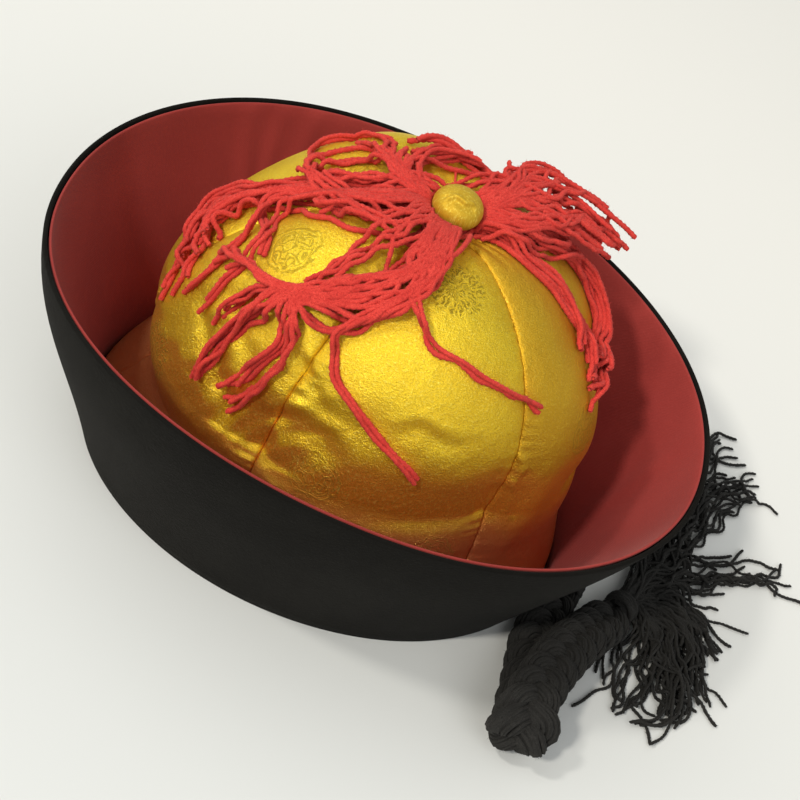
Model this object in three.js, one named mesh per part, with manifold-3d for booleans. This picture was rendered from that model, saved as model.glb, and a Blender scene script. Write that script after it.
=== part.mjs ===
// A court hat in the Chinese style: an upturned velvet brim round a crown of six satin gores,
// with a covered button, a tassel of red yarn and a plaited queue of black yarn.
// Millimetres, +Z up. The origin is the middle of the base, on the surface that the hat rests on.
// The front of the hat faces -Y. The queue leaves the back and lies on the surface.
// A heading is an angle round +Z in degrees: 0 is +X, 90 the back and 270 the front.
import * as THREE from "three";
import { mergeVertices } from "three/addons/utils/BufferGeometryUtils.js";
import Module from "manifold-3d";

const wasm = await Module();
wasm.setup();

// Driving dimensions: the brim
const BASE = { x: 83, y: 104 }; // outer half-widths of the base oval
const FLARE = { sides: 31.5, ends: 32.2 }; // how far the rim stands out past the base
const RIM = { mean: 90.5, frontUp: 4.3, sidesUp: 2.9, sway: 1.2, squareness: 2.1 };
const BRIM = { wall: 1.8, columns: 60 };
const BRIM_BELLY = { front: 4, sides: 1.5, back: 1 }; // swell of the wall below the rim
const BRIM_ROWS = [0, 0.22, 0.44, 0.66, 0.84, 1];
const LINING = { wall: 1.2, gap: 0.5 };
const LINING_ROWS = [0.07, 0.34, 0.64, 0.84, 0.985];

// Driving dimensions: the crown
const CROWN = {
  wall: 2,
  footInset: 2.3, // from the base oval to the crown's foot
  footUp: 0.4, // height of the crown's foot above the surface
  waist: 46, // heights above the surface
  shoulder: 64,
  top: 140,
  lean: { x: -6.5, y: 4 }, // the top's place off the middle of the base
  dimple: 7, // how far the button draws the top down
  dimpleRadius: 14,
  apexRadius: 3.2, // the hole where the gores' points meet
};
// Shares of the base oval's half-widths, and the dome's fullness: 2 is round, more is boxy.
const CROWN_WAIST = { front: 0.79, sides: 0.9, back: 0.87 };
const CROWN_SHOULDER = { front: 0.86, sides: 0.88, back: 0.86 };
const CROWN_FULLNESS = { front: 1.82, sides: 2.9, back: 1.82 };
const WAIST_UP = 0.25; // where the waist and shoulder lie, from the foot at 0 to the apex at 1
const SHOULDER_UP = 0.4;
const CLOTH_LENGTH = 175; // foot to apex along the cloth

// Driving dimensions: the gores
const GORES = 6;
const FIRST_SEAM = 41; // heading of the seam that the first gore starts at
const SEAM_GAP = 0.4;
const SEAM_PINCH = 1.6; // how deep a seam draws in
const SEAM_REACH = 0.16; // share of half a gore over which it does
const GORE_PUFF = 2.6; // how far a gore swells out between its seams
const RELIEF_FADE = { foot: 0.3, apex: 0.22 }; // where the swell and pinch die away
const EDGE_TURN = 0.3; // how far a gore's edges turn to face straight across it
const GORE_COLUMNS = [-1, -0.86, -0.6, -0.3, 0, 0.3, 0.6, 0.86, 1];
const GORE_ROWS = [0, 0.1, 0.19, 0.27, 0.34, 0.4, 0.47, 0.54, 0.61, 0.68, 0.75, 0.82, 0.88, 0.94, 1];

// Dents (negative out) and swells of the crown: the place of the middle, half-lengths along and
// across in millimetres, the turn of the long way from level in degrees, and how far out it goes.
const FOLDS = [
  { heading: 215, up: 0.74, long: 34, across: 24, turn: 0, out: 4 },
  { heading: 135, up: 0.72, long: 30, across: 24, turn: 0, out: -2.5 },
  { heading: 333, up: 0.45, long: 22, across: 8, turn: -35, out: -3.2 },
  { heading: 352, up: 0.47, long: 20, across: 8, turn: 25, out: -2.4 },
  { heading: 303, up: 0.5, long: 16, across: 9, turn: 60, out: -2.4 },
  { heading: 318, up: 0.58, long: 14, across: 9, turn: -40, out: -1.8 },
  { heading: 30, up: 0.4, long: 30, across: 9, turn: 8, out: -2.2 },
  { heading: 52, up: 0.36, long: 26, across: 8, turn: 80, out: 2 },
  { heading: 75, up: 0.42, long: 22, across: 9, turn: -20, out: -1.8 },
  { heading: 205, up: 0.42, long: 30, across: 10, turn: 12, out: -2 },
  { heading: 262, up: 0.38, long: 34, across: 9, turn: 0, out: -2 },
];

// Driving dimensions: the button and the red tassel
const BUTTON = { radius: 9.7, height: 12.6, gap: 0.9, seat: 0.62, lowest: -0.72, arcs: 7, sides: 18 };
const TASSEL_HEAD = { radius: 9.5, bottom: 134.6, top: 138 };
const YARN_CLEARANCE = 2; // from the crown to the underside of a lock
const DOME_RADIUS = 55; // for the extra clearance that a wide flat lock needs on the round crown
const LOCK_RINGS = 7;
const LOCK_SIDES = 5;
const LOCK_NARROWING = 0.45; // share of a lock's size that is gone at its end
const LOCK_START = 0.6; // share of a lock's width where it leaves its head
const LOCK_OPEN = 0.3; // share of its length at which it has its full width
const LOCK_THIN = 0.35; // and from which it narrows
const LOCK_ROOT = { inHead: 0.45, wide: 4, thick: 1.8 }; // where a red lock starts inside the head
// Locks of red yarn. A route's stops are a heading and how far up the crown, from 1 at the apex
// to 0 at the foot. Lift is how far the end stands off the crown.
const RED_LOCKS = [
  { route: [[278, 0.93], [284, 0.83], [272, 0.7], [267, 0.6]], lift: 0, wide: 15, thick: 4.4 },
  { route: [[286, 0.93], [280, 0.76], [267, 0.6], [290, 0.47]], lift: 0, wide: 7, thick: 3.2 },
  { route: [[300, 0.93], [286, 0.76], [280, 0.61], [299, 0.46]], lift: 0, wide: 6, thick: 3 },
  { route: [[206, 0.92], [222, 0.83], [240, 0.77], [256, 0.73]], lift: 1, wide: 9, thick: 3.6 },
  { route: [[194, 0.91], [206, 0.79], [222, 0.69], [236, 0.69]], lift: 1, wide: 8, thick: 3.2 },
  { route: [[236, 0.93], [246, 0.85], [250, 0.79], [250, 0.74]], lift: 1, wide: 9, thick: 3.4 },
  { route: [[333, 0.94], [350, 0.86], [341, 0.73], [318, 0.65]], lift: 1, wide: 13, thick: 5 },
  { route: [[328, 0.93], [335, 0.8], [318, 0.64], [299, 0.53]], lift: 0, wide: 6, thick: 3 },
  { route: [[340, 0.92], [346, 0.78], [324, 0.62], [317, 0.42]], lift: 0, wide: 8, thick: 3.2 },
  { route: [[345, 0.92], [351, 0.76], [332, 0.6], [326, 0.41]], lift: 0, wide: 7, thick: 3.2 },
  { route: [[350, 0.92], [355, 0.79], [11, 0.71], [48, 0.61]], lift: 1, wide: 4.4, thick: 2.6 },
  { route: [[347, 0.9], [347, 0.73], [346, 0.58], [17, 0.45]], lift: 1, wide: 4.4, thick: 2.6 },
  { route: [[163, 0.93], [157, 0.84], [148, 0.77], [139, 0.71]], lift: 24, wide: 12, thick: 5 },
  { route: [[155, 0.93], [150, 0.84], [141, 0.76], [129, 0.69]], lift: 31, wide: 13, thick: 5 },
  { route: [[140, 0.93], [141, 0.84], [135, 0.75], [126, 0.67]], lift: 20, wide: 11, thick: 4.6 },
  { route: [[174, 0.92], [172, 0.86], [170, 0.82], [168, 0.77]], lift: 12, wide: 8, thick: 3.4 },
  { route: [[118, 0.94], [127, 0.83], [122, 0.68], [90, 0.57]], lift: 1, wide: 9, thick: 3.8 },
  { route: [[100, 0.93], [113, 0.83], [106, 0.67], [80, 0.56]], lift: 0, wide: 9, thick: 3.6 },
  { route: [[85, 0.93], [99, 0.83], [91, 0.71], [75, 0.57]], lift: 0, wide: 7, thick: 3.2 },
  { route: [[182, 0.93], [182, 0.84], [190, 0.77], [198, 0.76]], lift: 2, wide: 10, thick: 3.8 },
];

// Driving dimensions: the queue
const PLAIT = { wide: 22, thick: 12.6, rootWide: 12.5, sides: 10, steps: 42 };
const PLAIT_FLARE = 34; // length over which the plait widens from its root
const ROOT = { radius: 6.3, length: 11, gap: 0.3 };
const TIE = { radius: 7.4, width: 7, waist: 5.6, gap: 0.42 };
// The middle of the plait from its root, along the surface, back over itself and to its tie.
const QUEUE_ROUTE = [
  [22, 110.9, 6.8],
  [30, 108.9, 6.7],
  [38, 106.0, 6.7],
  [47, 102.6, 6.7],
  [58, 101.6, 6.7],
  [70, 101.6, 6.7],
  [82, 101.3, 6.7],
  [92, 101.2, 7.0],
  [99, 100.8, 7.8],
  [104.4, 100.4, 10.2],
  [106.4, 100.0, 14.6],
  [104.4, 99.8, 19.0],
  [99, 99.8, 21.3],
  [91.5, 101.0, 21.8],
  [83, 103.4, 21.4],
  [74, 106.6, 20.4],
  [65, 110.2, 19.2],
  [56.5, 114.2, 17.6],
  [48, 118.9, 15.0],
  [40, 123.2, 12.0],
  [33, 127.1, 8.8],
  [27, 130.4, 7.4],
  [22, 133.1, 7.3],
];
const FRINGE_HEAD = { radius: 7.2, length: 12, gap: 0.45 };
const FRINGE_FLOOR = 0.4; // height of the locks' undersides above the surface
const FRINGE_SETTLE = 0.5; // share of a lock's length at which it has come down to there
// Locks of black yarn: the place of the end on the surface, how far the lock runs on along the
// plait's own line and aside from it before it turns, and its size.
const BLACK_LOCKS = [
  { x: 60, y: 141, onward: 2, aside: 18, wide: 7, thick: 3 },
  { x: 69, y: 149, onward: 4, aside: 20, wide: 8, thick: 3.2 },
  { x: 61, y: 163, onward: 12, aside: 20, wide: 15, thick: 4.4 },
  { x: 46, y: 173, onward: 16, aside: 18, wide: 17, thick: 4.6 },
  { x: 28, y: 177, onward: 18, aside: 14, wide: 17, thick: 4.6 },
  { x: 8, y: 178, onward: 22, aside: 10, wide: 16, thick: 4.6 },
  { x: -15, y: 177, onward: 28, aside: 6, wide: 15, thick: 4.6 },
  { x: -44, y: 215, onward: 36, aside: 4, wide: 9, thick: 3.4 },
  { x: -56, y: 201, onward: 44, aside: 2, wide: 10, thick: 3.6 },
  { x: -62, y: 177, onward: 48, aside: 0, wide: 13, thick: 4 },
  { x: -97, y: 205, onward: 60, aside: 0, wide: 11, thick: 3.8 },
  { x: -115, y: 194, onward: 66, aside: -2, wide: 11, thick: 3.6 },
  { x: -127, y: 178, onward: 74, aside: -4, wide: 10, thick: 3.4 },
];

const radians = (degrees) => (degrees * Math.PI) / 180;
const vector = (x, y, z) => new THREE.Vector3(x, y, z);
const blend = (a, b, t) => a + (b - a) * t;
const clamp = (t) => Math.min(1, Math.max(0, t));
const ease = (t) => t * t * (3 - 2 * t);
const signedPower = (x, power) => Math.sign(x) * Math.abs(x) ** power;

// A value that is given for the front, sides and back, at any heading.
function around(row, heading) {
  const s = Math.sin(radians(heading));
  return blend(row.sides, s < 0 ? row.front : row.back, s * s);
}

// The outward unit normal of a surface whose first parameter runs anticlockwise and second up.
function normalOf(surface, heading, up) {
  const step = { heading: 0.05, up: 0.001 };
  const round = surface(heading + step.heading, up).sub(surface(heading - step.heading, up));
  const rise = surface(heading, up + step.up).sub(surface(heading, up - step.up));
  return round.cross(rise).normalize();
}

// The brim's outer face, from the base at up 0 to the rim at up 1.
function brimFace(heading, up) {
  const c = Math.cos(radians(heading));
  const s = Math.sin(radians(heading));
  const power = 2 / RIM.squareness;
  const foot = vector(BASE.x * c, BASE.y * s, 0);
  const rim = vector(
    (BASE.x + FLARE.sides) * signedPower(c, power),
    (BASE.y + FLARE.ends) * signedPower(s, power),
    RIM.mean - RIM.frontUp * s + RIM.sidesUp * (c * c - s * s) - RIM.sway * Math.sin(radians(3 * heading)),
  );
  const belly = around(BRIM_BELLY, heading) * Math.sin(Math.PI * clamp(up) ** 2);
  return foot.lerp(rim, up).add(vector(c, s, 0).multiplyScalar(belly));
}

// A point under the brim's outer face, at a depth along its normal.
function inBrim(heading, up, depth) {
  return brimFace(heading, up).addScaledVector(normalOf(brimFace, heading, up), -depth);
}

// The crown's outer face before its gores swell and fold, from the foot at up 0 to the apex at 1.
function crownFace(heading, up) {
  const c = Math.cos(radians(heading));
  const s = Math.sin(radians(heading));
  const waist = around(CROWN_WAIST, heading);
  const shoulder = around(CROWN_SHOULDER, heading);
  const foot = 1 - CROWN.footInset / Math.hypot(BASE.x * c, BASE.y * s);
  let share;
  let height;
  let rise = 0; // share of the way from the shoulder to the top
  if (up < WAIST_UP) {
    const t = up / WAIST_UP;
    share = blend(foot, waist, ease(t));
    height = blend(CROWN.footUp, CROWN.waist, t);
  } else if (up < SHOULDER_UP) {
    const t = (up - WAIST_UP) / (SHOULDER_UP - WAIST_UP);
    share = blend(waist, shoulder, Math.sin((Math.PI / 2) * t));
    height = blend(CROWN.waist, CROWN.shoulder, t);
  } else {
    const power = 2 / around(CROWN_FULLNESS, heading);
    const girth = shoulder * Math.hypot(BASE.x * c, BASE.y * s);
    const steepest = Math.acos((CROWN.apexRadius / girth) ** (1 / power));
    const t = (steepest * (up - SHOULDER_UP)) / (1 - SHOULDER_UP);
    rise = Math.sin(t) ** power;
    share = shoulder * Math.cos(t) ** power;
    height = blend(CROWN.shoulder, CROWN.top, rise);
  }
  const x = BASE.x * share * c;
  const y = BASE.y * share * s;
  const dip = CROWN.dimple * Math.exp(-((Math.hypot(x, y) / CROWN.dimpleRadius) ** 2));
  return vector(x + CROWN.lean.x * rise, y + CROWN.lean.y * rise, height - dip * rise);
}

// Where a heading lies across its gore: -1 and 1 are its seams.
function acrossGore(heading) {
  const span = 360 / GORES;
  const turn = (((heading - FIRST_SEAM) % span) + span) % span;
  return (2 * turn) / span - 1;
}

// How far the cloth stands out of the plain crown: swelling gores, drawn-in seams and folds.
function reliefAt(heading, up) {
  const x = acrossGore(heading);
  const height = ease(clamp(up / RELIEF_FADE.foot)) * ease(clamp((1 - up) / RELIEF_FADE.apex));
  const puff = GORE_PUFF * (1 - x * x);
  const pinch = SEAM_PINCH * Math.exp(-((1 - Math.abs(x)) / SEAM_REACH));
  let out = (puff - pinch) * height;
  for (const fold of FOLDS) {
    const turned = ((heading - fold.heading + 540) % 360) - 180;
    const level = radians(turned) * BASE.x;
    const upward = (up - fold.up) * CLOTH_LENGTH;
    const c = Math.cos(radians(fold.turn));
    const s = Math.sin(radians(fold.turn));
    const along = (level * c + upward * s) / fold.long;
    const across = (upward * c - level * s) / fold.across;
    out += fold.out * Math.exp(-along * along - across * across);
  }
  return out;
}

// A point of the crown, a distance out of (or, when negative, into) its outer face.
function onCrown(heading, up, out) {
  const normal = normalOf(crownFace, heading, up);
  return crownFace(heading, up).addScaledVector(normal, reliefAt(heading, up) + out);
}

// A closed wall between two sheets of points, outer(i, j) and inner(i, j). Its columns run
// anticlockwise and its rows up. A wall that wraps has its last column joined to its first.
function wallGeometry(outer, inner, columns, rows, wraps) {
  const positions = [];
  const faces = [];
  const perRow = wraps ? columns : columns + 1;
  const index = (side, i, j) => (side * (rows + 1) + j) * perRow + (i % perRow);
  for (const sheet of [outer, inner]) {
    for (let j = 0; j <= rows; j++) {
      for (let i = 0; i < perRow; i++) {
        positions.push(...sheet(i, j).toArray());
      }
    }
  }
  const quad = (a, b, c, d) => faces.push(a, b, c, a, c, d);
  for (let i = 0; i < columns; i++) {
    for (let j = 0; j < rows; j++) {
      quad(index(0, i, j), index(0, i + 1, j), index(0, i + 1, j + 1), index(0, i, j + 1));
      quad(index(1, i, j), index(1, i, j + 1), index(1, i + 1, j + 1), index(1, i + 1, j));
    }
    quad(index(0, i, 0), index(1, i, 0), index(1, i + 1, 0), index(0, i + 1, 0));
    quad(index(0, i, rows), index(0, i + 1, rows), index(1, i + 1, rows), index(1, i, rows));
  }
  if (!wraps) {
    for (let j = 0; j < rows; j++) {
      quad(index(0, 0, j), index(0, 0, j + 1), index(1, 0, j + 1), index(1, 0, j));
      const last = columns;
      quad(index(0, last, j), index(1, last, j), index(1, last, j + 1), index(0, last, j + 1));
    }
  }
  return geometryOf(positions, faces);
}

function geometryOf(positions, faces) {
  const geometry = new THREE.BufferGeometry();
  geometry.setAttribute("position", new THREE.Float32BufferAttribute(positions, 3));
  geometry.setIndex(faces);
  return geometry;
}

// A closed lock of yarn: oval rings along a path, narrowing to its end.
// Each stop of the path has its place, its upward direction and its width and thickness.
function lockGeometry(stops) {
  const positions = [];
  const faces = [];
  const last = stops.length - 1;
  stops.forEach((stop, k) => {
    const ahead = stops[Math.min(k + 1, last)].place;
    const behind = stops[Math.max(k - 1, 0)].place;
    const along = ahead.clone().sub(behind).normalize();
    const side = along.clone().cross(stop.up).normalize();
    const up = side.clone().cross(along);
    for (let i = 0; i < LOCK_SIDES; i++) {
      const turn = (2 * Math.PI * i) / LOCK_SIDES;
      const point = stop.place
        .clone()
        .addScaledVector(side, (stop.wide / 2) * Math.cos(turn))
        .addScaledVector(up, (stop.thick / 2) * Math.sin(turn));
      positions.push(...point.toArray());
    }
  });
  const ring = (k, i) => k * LOCK_SIDES + (i % LOCK_SIDES);
  for (let k = 0; k < last; k++) {
    for (let i = 0; i < LOCK_SIDES; i++) {
      faces.push(ring(k, i), ring(k + 1, i), ring(k + 1, i + 1));
      faces.push(ring(k, i), ring(k + 1, i + 1), ring(k, i + 1));
    }
  }
  for (let i = 1; i < LOCK_SIDES - 1; i++) {
    faces.push(ring(0, 0), ring(0, i), ring(0, i + 1));
    faces.push(ring(last, 0), ring(last, i + 1), ring(last, i));
  }
  return geometryOf(positions, faces);
}

function solidOf(geometry) {
  const plain = geometry.clone();
  plain.deleteAttribute("normal");
  plain.deleteAttribute("uv");
  const merged = mergeVertices(plain, 1e-4);
  return new wasm.Manifold(
    new wasm.Mesh({
      numProp: 3,
      vertProperties: new Float32Array(merged.attributes.position.array),
      triVerts: new Uint32Array(merged.index.array),
    }),
  );
}

// One geometry from several that pass through each other, with no bubble sealed between them.
function fused(geometries) {
  const solid = geometries.map(solidOf).reduce((sum, next) => sum.add(next));
  const outer = solid.decompose().reduce((best, next) => (next.volume() > best.volume() ? next : best));
  const mesh = outer.getMesh();
  return geometryOf(Array.from(mesh.vertProperties), Array.from(mesh.triVerts));
}

function meshOf(name, geometry, material) {
  const mesh = new THREE.Mesh(geometry, material);
  mesh.name = name;
  return mesh;
}

// The size of a lock along its length: full to the middle, then narrowing to the end.
function taper(t) {
  return 1 - LOCK_NARROWING * ease(clamp((t - LOCK_THIN) / (1 - LOCK_THIN)));
}

// How far a lock has opened out after it leaves its head.
function opening(t) {
  return blend(LOCK_START, 1, ease(clamp(t / LOCK_OPEN)));
}

// A smooth way through a route's stops on the crown, with headings that don't jump at 360.
function unwound(route) {
  const first = route[0][0];
  const near = (heading) => heading + 360 * Math.round((first - heading) / 360);
  const stops = route.map(([heading, up]) => vector(near(heading), up * CLOTH_LENGTH, 0));
  const curve = new THREE.CatmullRomCurve3(stops, false, "centripetal");
  return (t) => {
    const stop = curve.getPoint(t);
    return [stop.x, stop.y / CLOTH_LENGTH];
  };
}

// A smooth value along a lock, from the start past a bend to the end.
function bent(start, bend, end, t) {
  return blend(blend(start, bend, t), blend(bend, end, t), t);
}

function brimShell() {
  const columns = BRIM.columns;
  const heading = (i) => (360 * i) / columns;
  const flatFoot = (point, j) => (j === 0 ? point.setZ(0) : point);
  const outer = (i, j) => brimFace(heading(i), BRIM_ROWS[j]);
  const inner = (i, j) => flatFoot(inBrim(heading(i), BRIM_ROWS[j], BRIM.wall), j);
  return wallGeometry(outer, inner, columns, BRIM_ROWS.length - 1, true);
}

function brimLining() {
  const columns = BRIM.columns;
  const near = BRIM.wall + LINING.gap;
  const outer = (i, j) => inBrim((360 * i) / columns, LINING_ROWS[j], near);
  const inner = (i, j) => inBrim((360 * i) / columns, LINING_ROWS[j], near + LINING.wall);
  return wallGeometry(outer, inner, columns, LINING_ROWS.length - 1, true);
}

// One gore of the crown, held off its neighbours by half the seam gap on each side.
function crownGore(number) {
  const span = 360 / GORES;
  const middle = FIRST_SEAM + span * (number + 0.5);
  const place = (i, j, depth) => {
    const across = GORE_COLUMNS[i];
    const heading = middle + (across * span) / 2;
    const sideways = vector(-Math.sin(radians(middle)), Math.cos(radians(middle)), 0);
    // A hair inside the seam, so that the relief is this gore's own there.
    const point = onCrown(middle + ((across * span) / 2) * 0.9999, GORE_ROWS[j], -depth);
    const edge = vector(-Math.sin(radians(heading)), Math.cos(radians(heading)), 0);
    return point.addScaledVector(edge.lerp(sideways, EDGE_TURN), (-across * SEAM_GAP) / 2);
  };
  return wallGeometry(
    (i, j) => place(i, j, 0),
    (i, j) => place(i, j, CROWN.wall),
    GORE_COLUMNS.length - 1,
    GORE_ROWS.length - 1,
    false,
  );
}

// The covered ball button, flattened where it sits.
function topButton() {
  const { radius, arcs } = BUTTON;
  const profile = [new THREE.Vector2(0, 0), new THREE.Vector2(BUTTON.seat * radius, 0)];
  const low = Math.asin(BUTTON.lowest);
  for (let i = 1; i <= arcs; i++) {
    const turn = blend(low, Math.PI / 2, i / arcs);
    const height = (BUTTON.height * (Math.sin(turn) - Math.sin(low))) / (1 - Math.sin(low));
    profile.push(new THREE.Vector2(i === arcs ? 0 : radius * Math.cos(turn), height));
  }
  return new THREE.LatheGeometry(profile, BUTTON.sides).rotateX(Math.PI / 2);
}

// The bound head of the red tassel: a disc that follows the dip at the crown's top.
function redHead() {
  const { radius, bottom, top } = TASSEL_HEAD;
  const profile = [
    new THREE.Vector2(0, bottom),
    new THREE.Vector2(radius * 0.55, bottom + 0.8),
    new THREE.Vector2(radius, bottom + 2.6),
    new THREE.Vector2(radius, top - 0.3),
    new THREE.Vector2(radius * 0.8, top),
    new THREE.Vector2(0, top),
  ];
  const disc = new THREE.LatheGeometry(profile, 16).rotateX(Math.PI / 2);
  return disc.translate(CROWN.lean.x, CROWN.lean.y, 0);
}

function redLock(lock) {
  const stops = [];
  const start = radians(lock.route[0][0]);
  const inHead = TASSEL_HEAD.radius * LOCK_ROOT.inHead;
  stops.push({
    place: vector(
      CROWN.lean.x + inHead * Math.cos(start),
      CROWN.lean.y + inHead * Math.sin(start),
      (TASSEL_HEAD.bottom + TASSEL_HEAD.top) / 2 + 0.5,
    ),
    up: vector(0, 0, 1),
    wide: LOCK_ROOT.wide,
    thick: LOCK_ROOT.thick,
  });
  const route = unwound(lock.route);
  for (let k = 0; k < LOCK_RINGS; k++) {
    const t = k / (LOCK_RINGS - 1);
    const [heading, up] = route(t);
    const wide = lock.wide * taper(t) * opening(t);
    const thick = lock.thick * taper(t);
    const sag = (wide * wide) / (8 * DOME_RADIUS);
    const out = thick / 2 + YARN_CLEARANCE + sag + lock.lift * t * t;
    stops.push({
      place: onCrown(heading, up, out),
      up: normalOf(crownFace, heading, up),
      wide,
      thick,
    });
  }
  return lockGeometry(stops);
}

function redTassel() {
  return fused([redHead(), ...RED_LOCKS.map(redLock)]);
}

// The queue's route as a smooth curve, and the direction in which it leaves its last point.
const queueCurve = new THREE.CatmullRomCurve3(QUEUE_ROUTE.map((p) => vector(...p)), false, "centripetal");
const queueStart = queueCurve.getTangentAt(0).setZ(0).normalize();
const queueEnd = queueCurve.getTangentAt(1).setZ(0).normalize();

// The plait as one plain oval tube, narrower where it leaves its root.
function queueBraid() {
  const outline = [];
  for (let i = 0; i < PLAIT.sides; i++) {
    const turn = (2 * Math.PI * (i + 0.5)) / PLAIT.sides;
    outline.push(new THREE.Vector2((PLAIT.thick / 2) * Math.cos(turn), (PLAIT.wide / 2) * Math.sin(turn)));
  }
  const tube = new THREE.ExtrudeGeometry(new THREE.Shape(outline), {
    steps: PLAIT.steps,
    extrudePath: queueCurve,
    curveSegments: 1,
  });
  const stations = queueCurve.getSpacedPoints(PLAIT.steps);
  const tangents = stations.map((station, k) => queueCurve.getTangentAt(k / PLAIT.steps));
  const position = tube.attributes.position;
  const point = vector(0, 0, 0);
  const offset = (k) => point.clone().sub(stations[k]);
  const inSection = (k) => offset(k).length() < PLAIT.wide && Math.abs(offset(k).dot(tangents[k])) < 0.001;
  for (let i = 0; i < position.count; i++) {
    point.fromBufferAttribute(position, i);
    const section = stations.findIndex((station, k) => inSection(k));
    const distance = (queueCurve.getLength() * section) / PLAIT.steps;
    const share = blend(PLAIT.rootWide / PLAIT.wide, 1, ease(clamp(distance / PLAIT_FLARE)));
    const across = tangents[section].clone().cross(vector(0, 0, 1)).normalize();
    point.addScaledVector(across, offset(section).dot(across) * (share - 1));
    position.setXYZ(i, point.x, point.y, point.z);
  }
  return tube;
}

// A round piece whose axis follows a level direction, from a profile of radius and distance.
function alongLevel(profile, sides, from, direction) {
  const round = new THREE.LatheGeometry(profile, sides);
  const turn = new THREE.Quaternion().setFromUnitVectors(vector(0, 1, 0), direction);
  return round.applyQuaternion(turn).translate(from.x, from.y, from.z);
}

// The bound end of the plait, which is sewn to the brim.
function queueRoot() {
  const { radius, length, gap } = ROOT;
  const profile = [
    new THREE.Vector2(0, 0),
    new THREE.Vector2(radius * 0.7, 0),
    new THREE.Vector2(radius, radius * 0.4),
    new THREE.Vector2(radius, length - 0.8),
    new THREE.Vector2(radius - 0.8, length),
    new THREE.Vector2(0, length),
  ];
  const from = queueCurve.getPointAt(0).addScaledVector(queueStart, -length - gap);
  return alongLevel(profile, 14, from, queueStart);
}

// The binding at the plait's end: two rounds of cord with a groove between them.
function queueTie() {
  const { radius, width, waist, gap } = TIE;
  const profile = [
    new THREE.Vector2(0, 0),
    new THREE.Vector2(waist, 0),
    new THREE.Vector2(radius * 0.96, width * 0.16),
    new THREE.Vector2(radius * 0.9, width * 0.42),
    new THREE.Vector2(radius * 0.9, width * 0.58),
    new THREE.Vector2(radius * 0.96, width * 0.84),
    new THREE.Vector2(waist, width),
    new THREE.Vector2(0, width),
  ];
  const from = queueCurve.getPointAt(1).addScaledVector(queueEnd, gap);
  return alongLevel(profile, 14, from.setZ(radius + FRINGE_FLOOR), queueEnd);
}

// The middle of the fringe's head where the locks start.
const fringeStart = queueCurve
  .getPointAt(1)
  .addScaledVector(queueEnd, TIE.gap + TIE.width + FRINGE_HEAD.gap)
  .setZ(FRINGE_HEAD.radius + FRINGE_FLOOR);

function fringeHead() {
  const { radius, length } = FRINGE_HEAD;
  const profile = [
    new THREE.Vector2(0, 0),
    new THREE.Vector2(radius * 0.75, 0),
    new THREE.Vector2(radius, length * 0.3),
    new THREE.Vector2(radius * 0.9, length * 0.8),
    new THREE.Vector2(radius * 0.5, length),
    new THREE.Vector2(0, length),
  ];
  return alongLevel(profile, 14, fringeStart, queueEnd);
}

function blackLock(lock) {
  const stops = [];
  const aside = vector(queueEnd.y, -queueEnd.x, 0);
  const start = fringeStart.clone().addScaledVector(queueEnd, FRINGE_HEAD.length * 0.4);
  const bend = start.clone().addScaledVector(queueEnd, lock.onward).addScaledVector(aside, lock.aside);
  for (let k = 0; k < LOCK_RINGS; k++) {
    const t = k / (LOCK_RINGS - 1);
    const thick = lock.thick * taper(t);
    const low = thick / 2 + FRINGE_FLOOR;
    stops.push({
      place: vector(
        bent(start.x, bend.x, lock.x, t),
        bent(start.y, bend.y, lock.y, t),
        blend(start.z, low, ease(clamp(t / FRINGE_SETTLE))),
      ),
      up: vector(0, 0, 1),
      wide: lock.wide * taper(t) * opening(t),
      thick,
    });
  }
  return lockGeometry(stops);
}

function queueTassel() {
  return fused([fringeHead(), ...BLACK_LOCKS.map(blackLock)]);
}

const satin = new THREE.MeshStandardMaterial({ color: 0xe0a51c, roughness: 0.34, metalness: 0.1 });
const velvet = new THREE.MeshStandardMaterial({ color: 0x1f1c1b, roughness: 0.95, metalness: 0 });
const redCloth = new THREE.MeshStandardMaterial({ color: 0xa82c2a, roughness: 0.85, metalness: 0 });
const redYarn = new THREE.MeshStandardMaterial({ color: 0xd8342c, roughness: 0.9, metalness: 0 });
const blackYarn = new THREE.MeshStandardMaterial({ color: 0x181615, roughness: 0.9, metalness: 0 });

const hat = new THREE.Group();

const brim = new THREE.Group();
brim.add(meshOf("brim_shell", brimShell(), velvet));
brim.add(meshOf("brim_lining", brimLining(), redCloth));
hat.add(brim);

const crown = new THREE.Group();
for (let number = 0; number < GORES; number++) {
  crown.add(meshOf(`crown_gore_${number + 1}`, crownGore(number), satin));
}
const button = meshOf("top_button", topButton(), satin);
button.position.set(CROWN.lean.x, CROWN.lean.y, TASSEL_HEAD.top + BUTTON.gap);
crown.add(button);
crown.add(meshOf("red_tassel", redTassel(), redYarn));
hat.add(crown);

const queue = new THREE.Group();
queue.add(meshOf("queue_root", queueRoot(), blackYarn));
queue.add(meshOf("queue_braid", queueBraid(), blackYarn));
queue.add(meshOf("queue_tie", queueTie(), blackYarn));
queue.add(meshOf("queue_tassel", queueTassel(), blackYarn));
hat.add(queue);

export default hat;
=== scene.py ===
import math

import bpy
import numpy as np
from mathutils import Matrix, Vector


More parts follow.
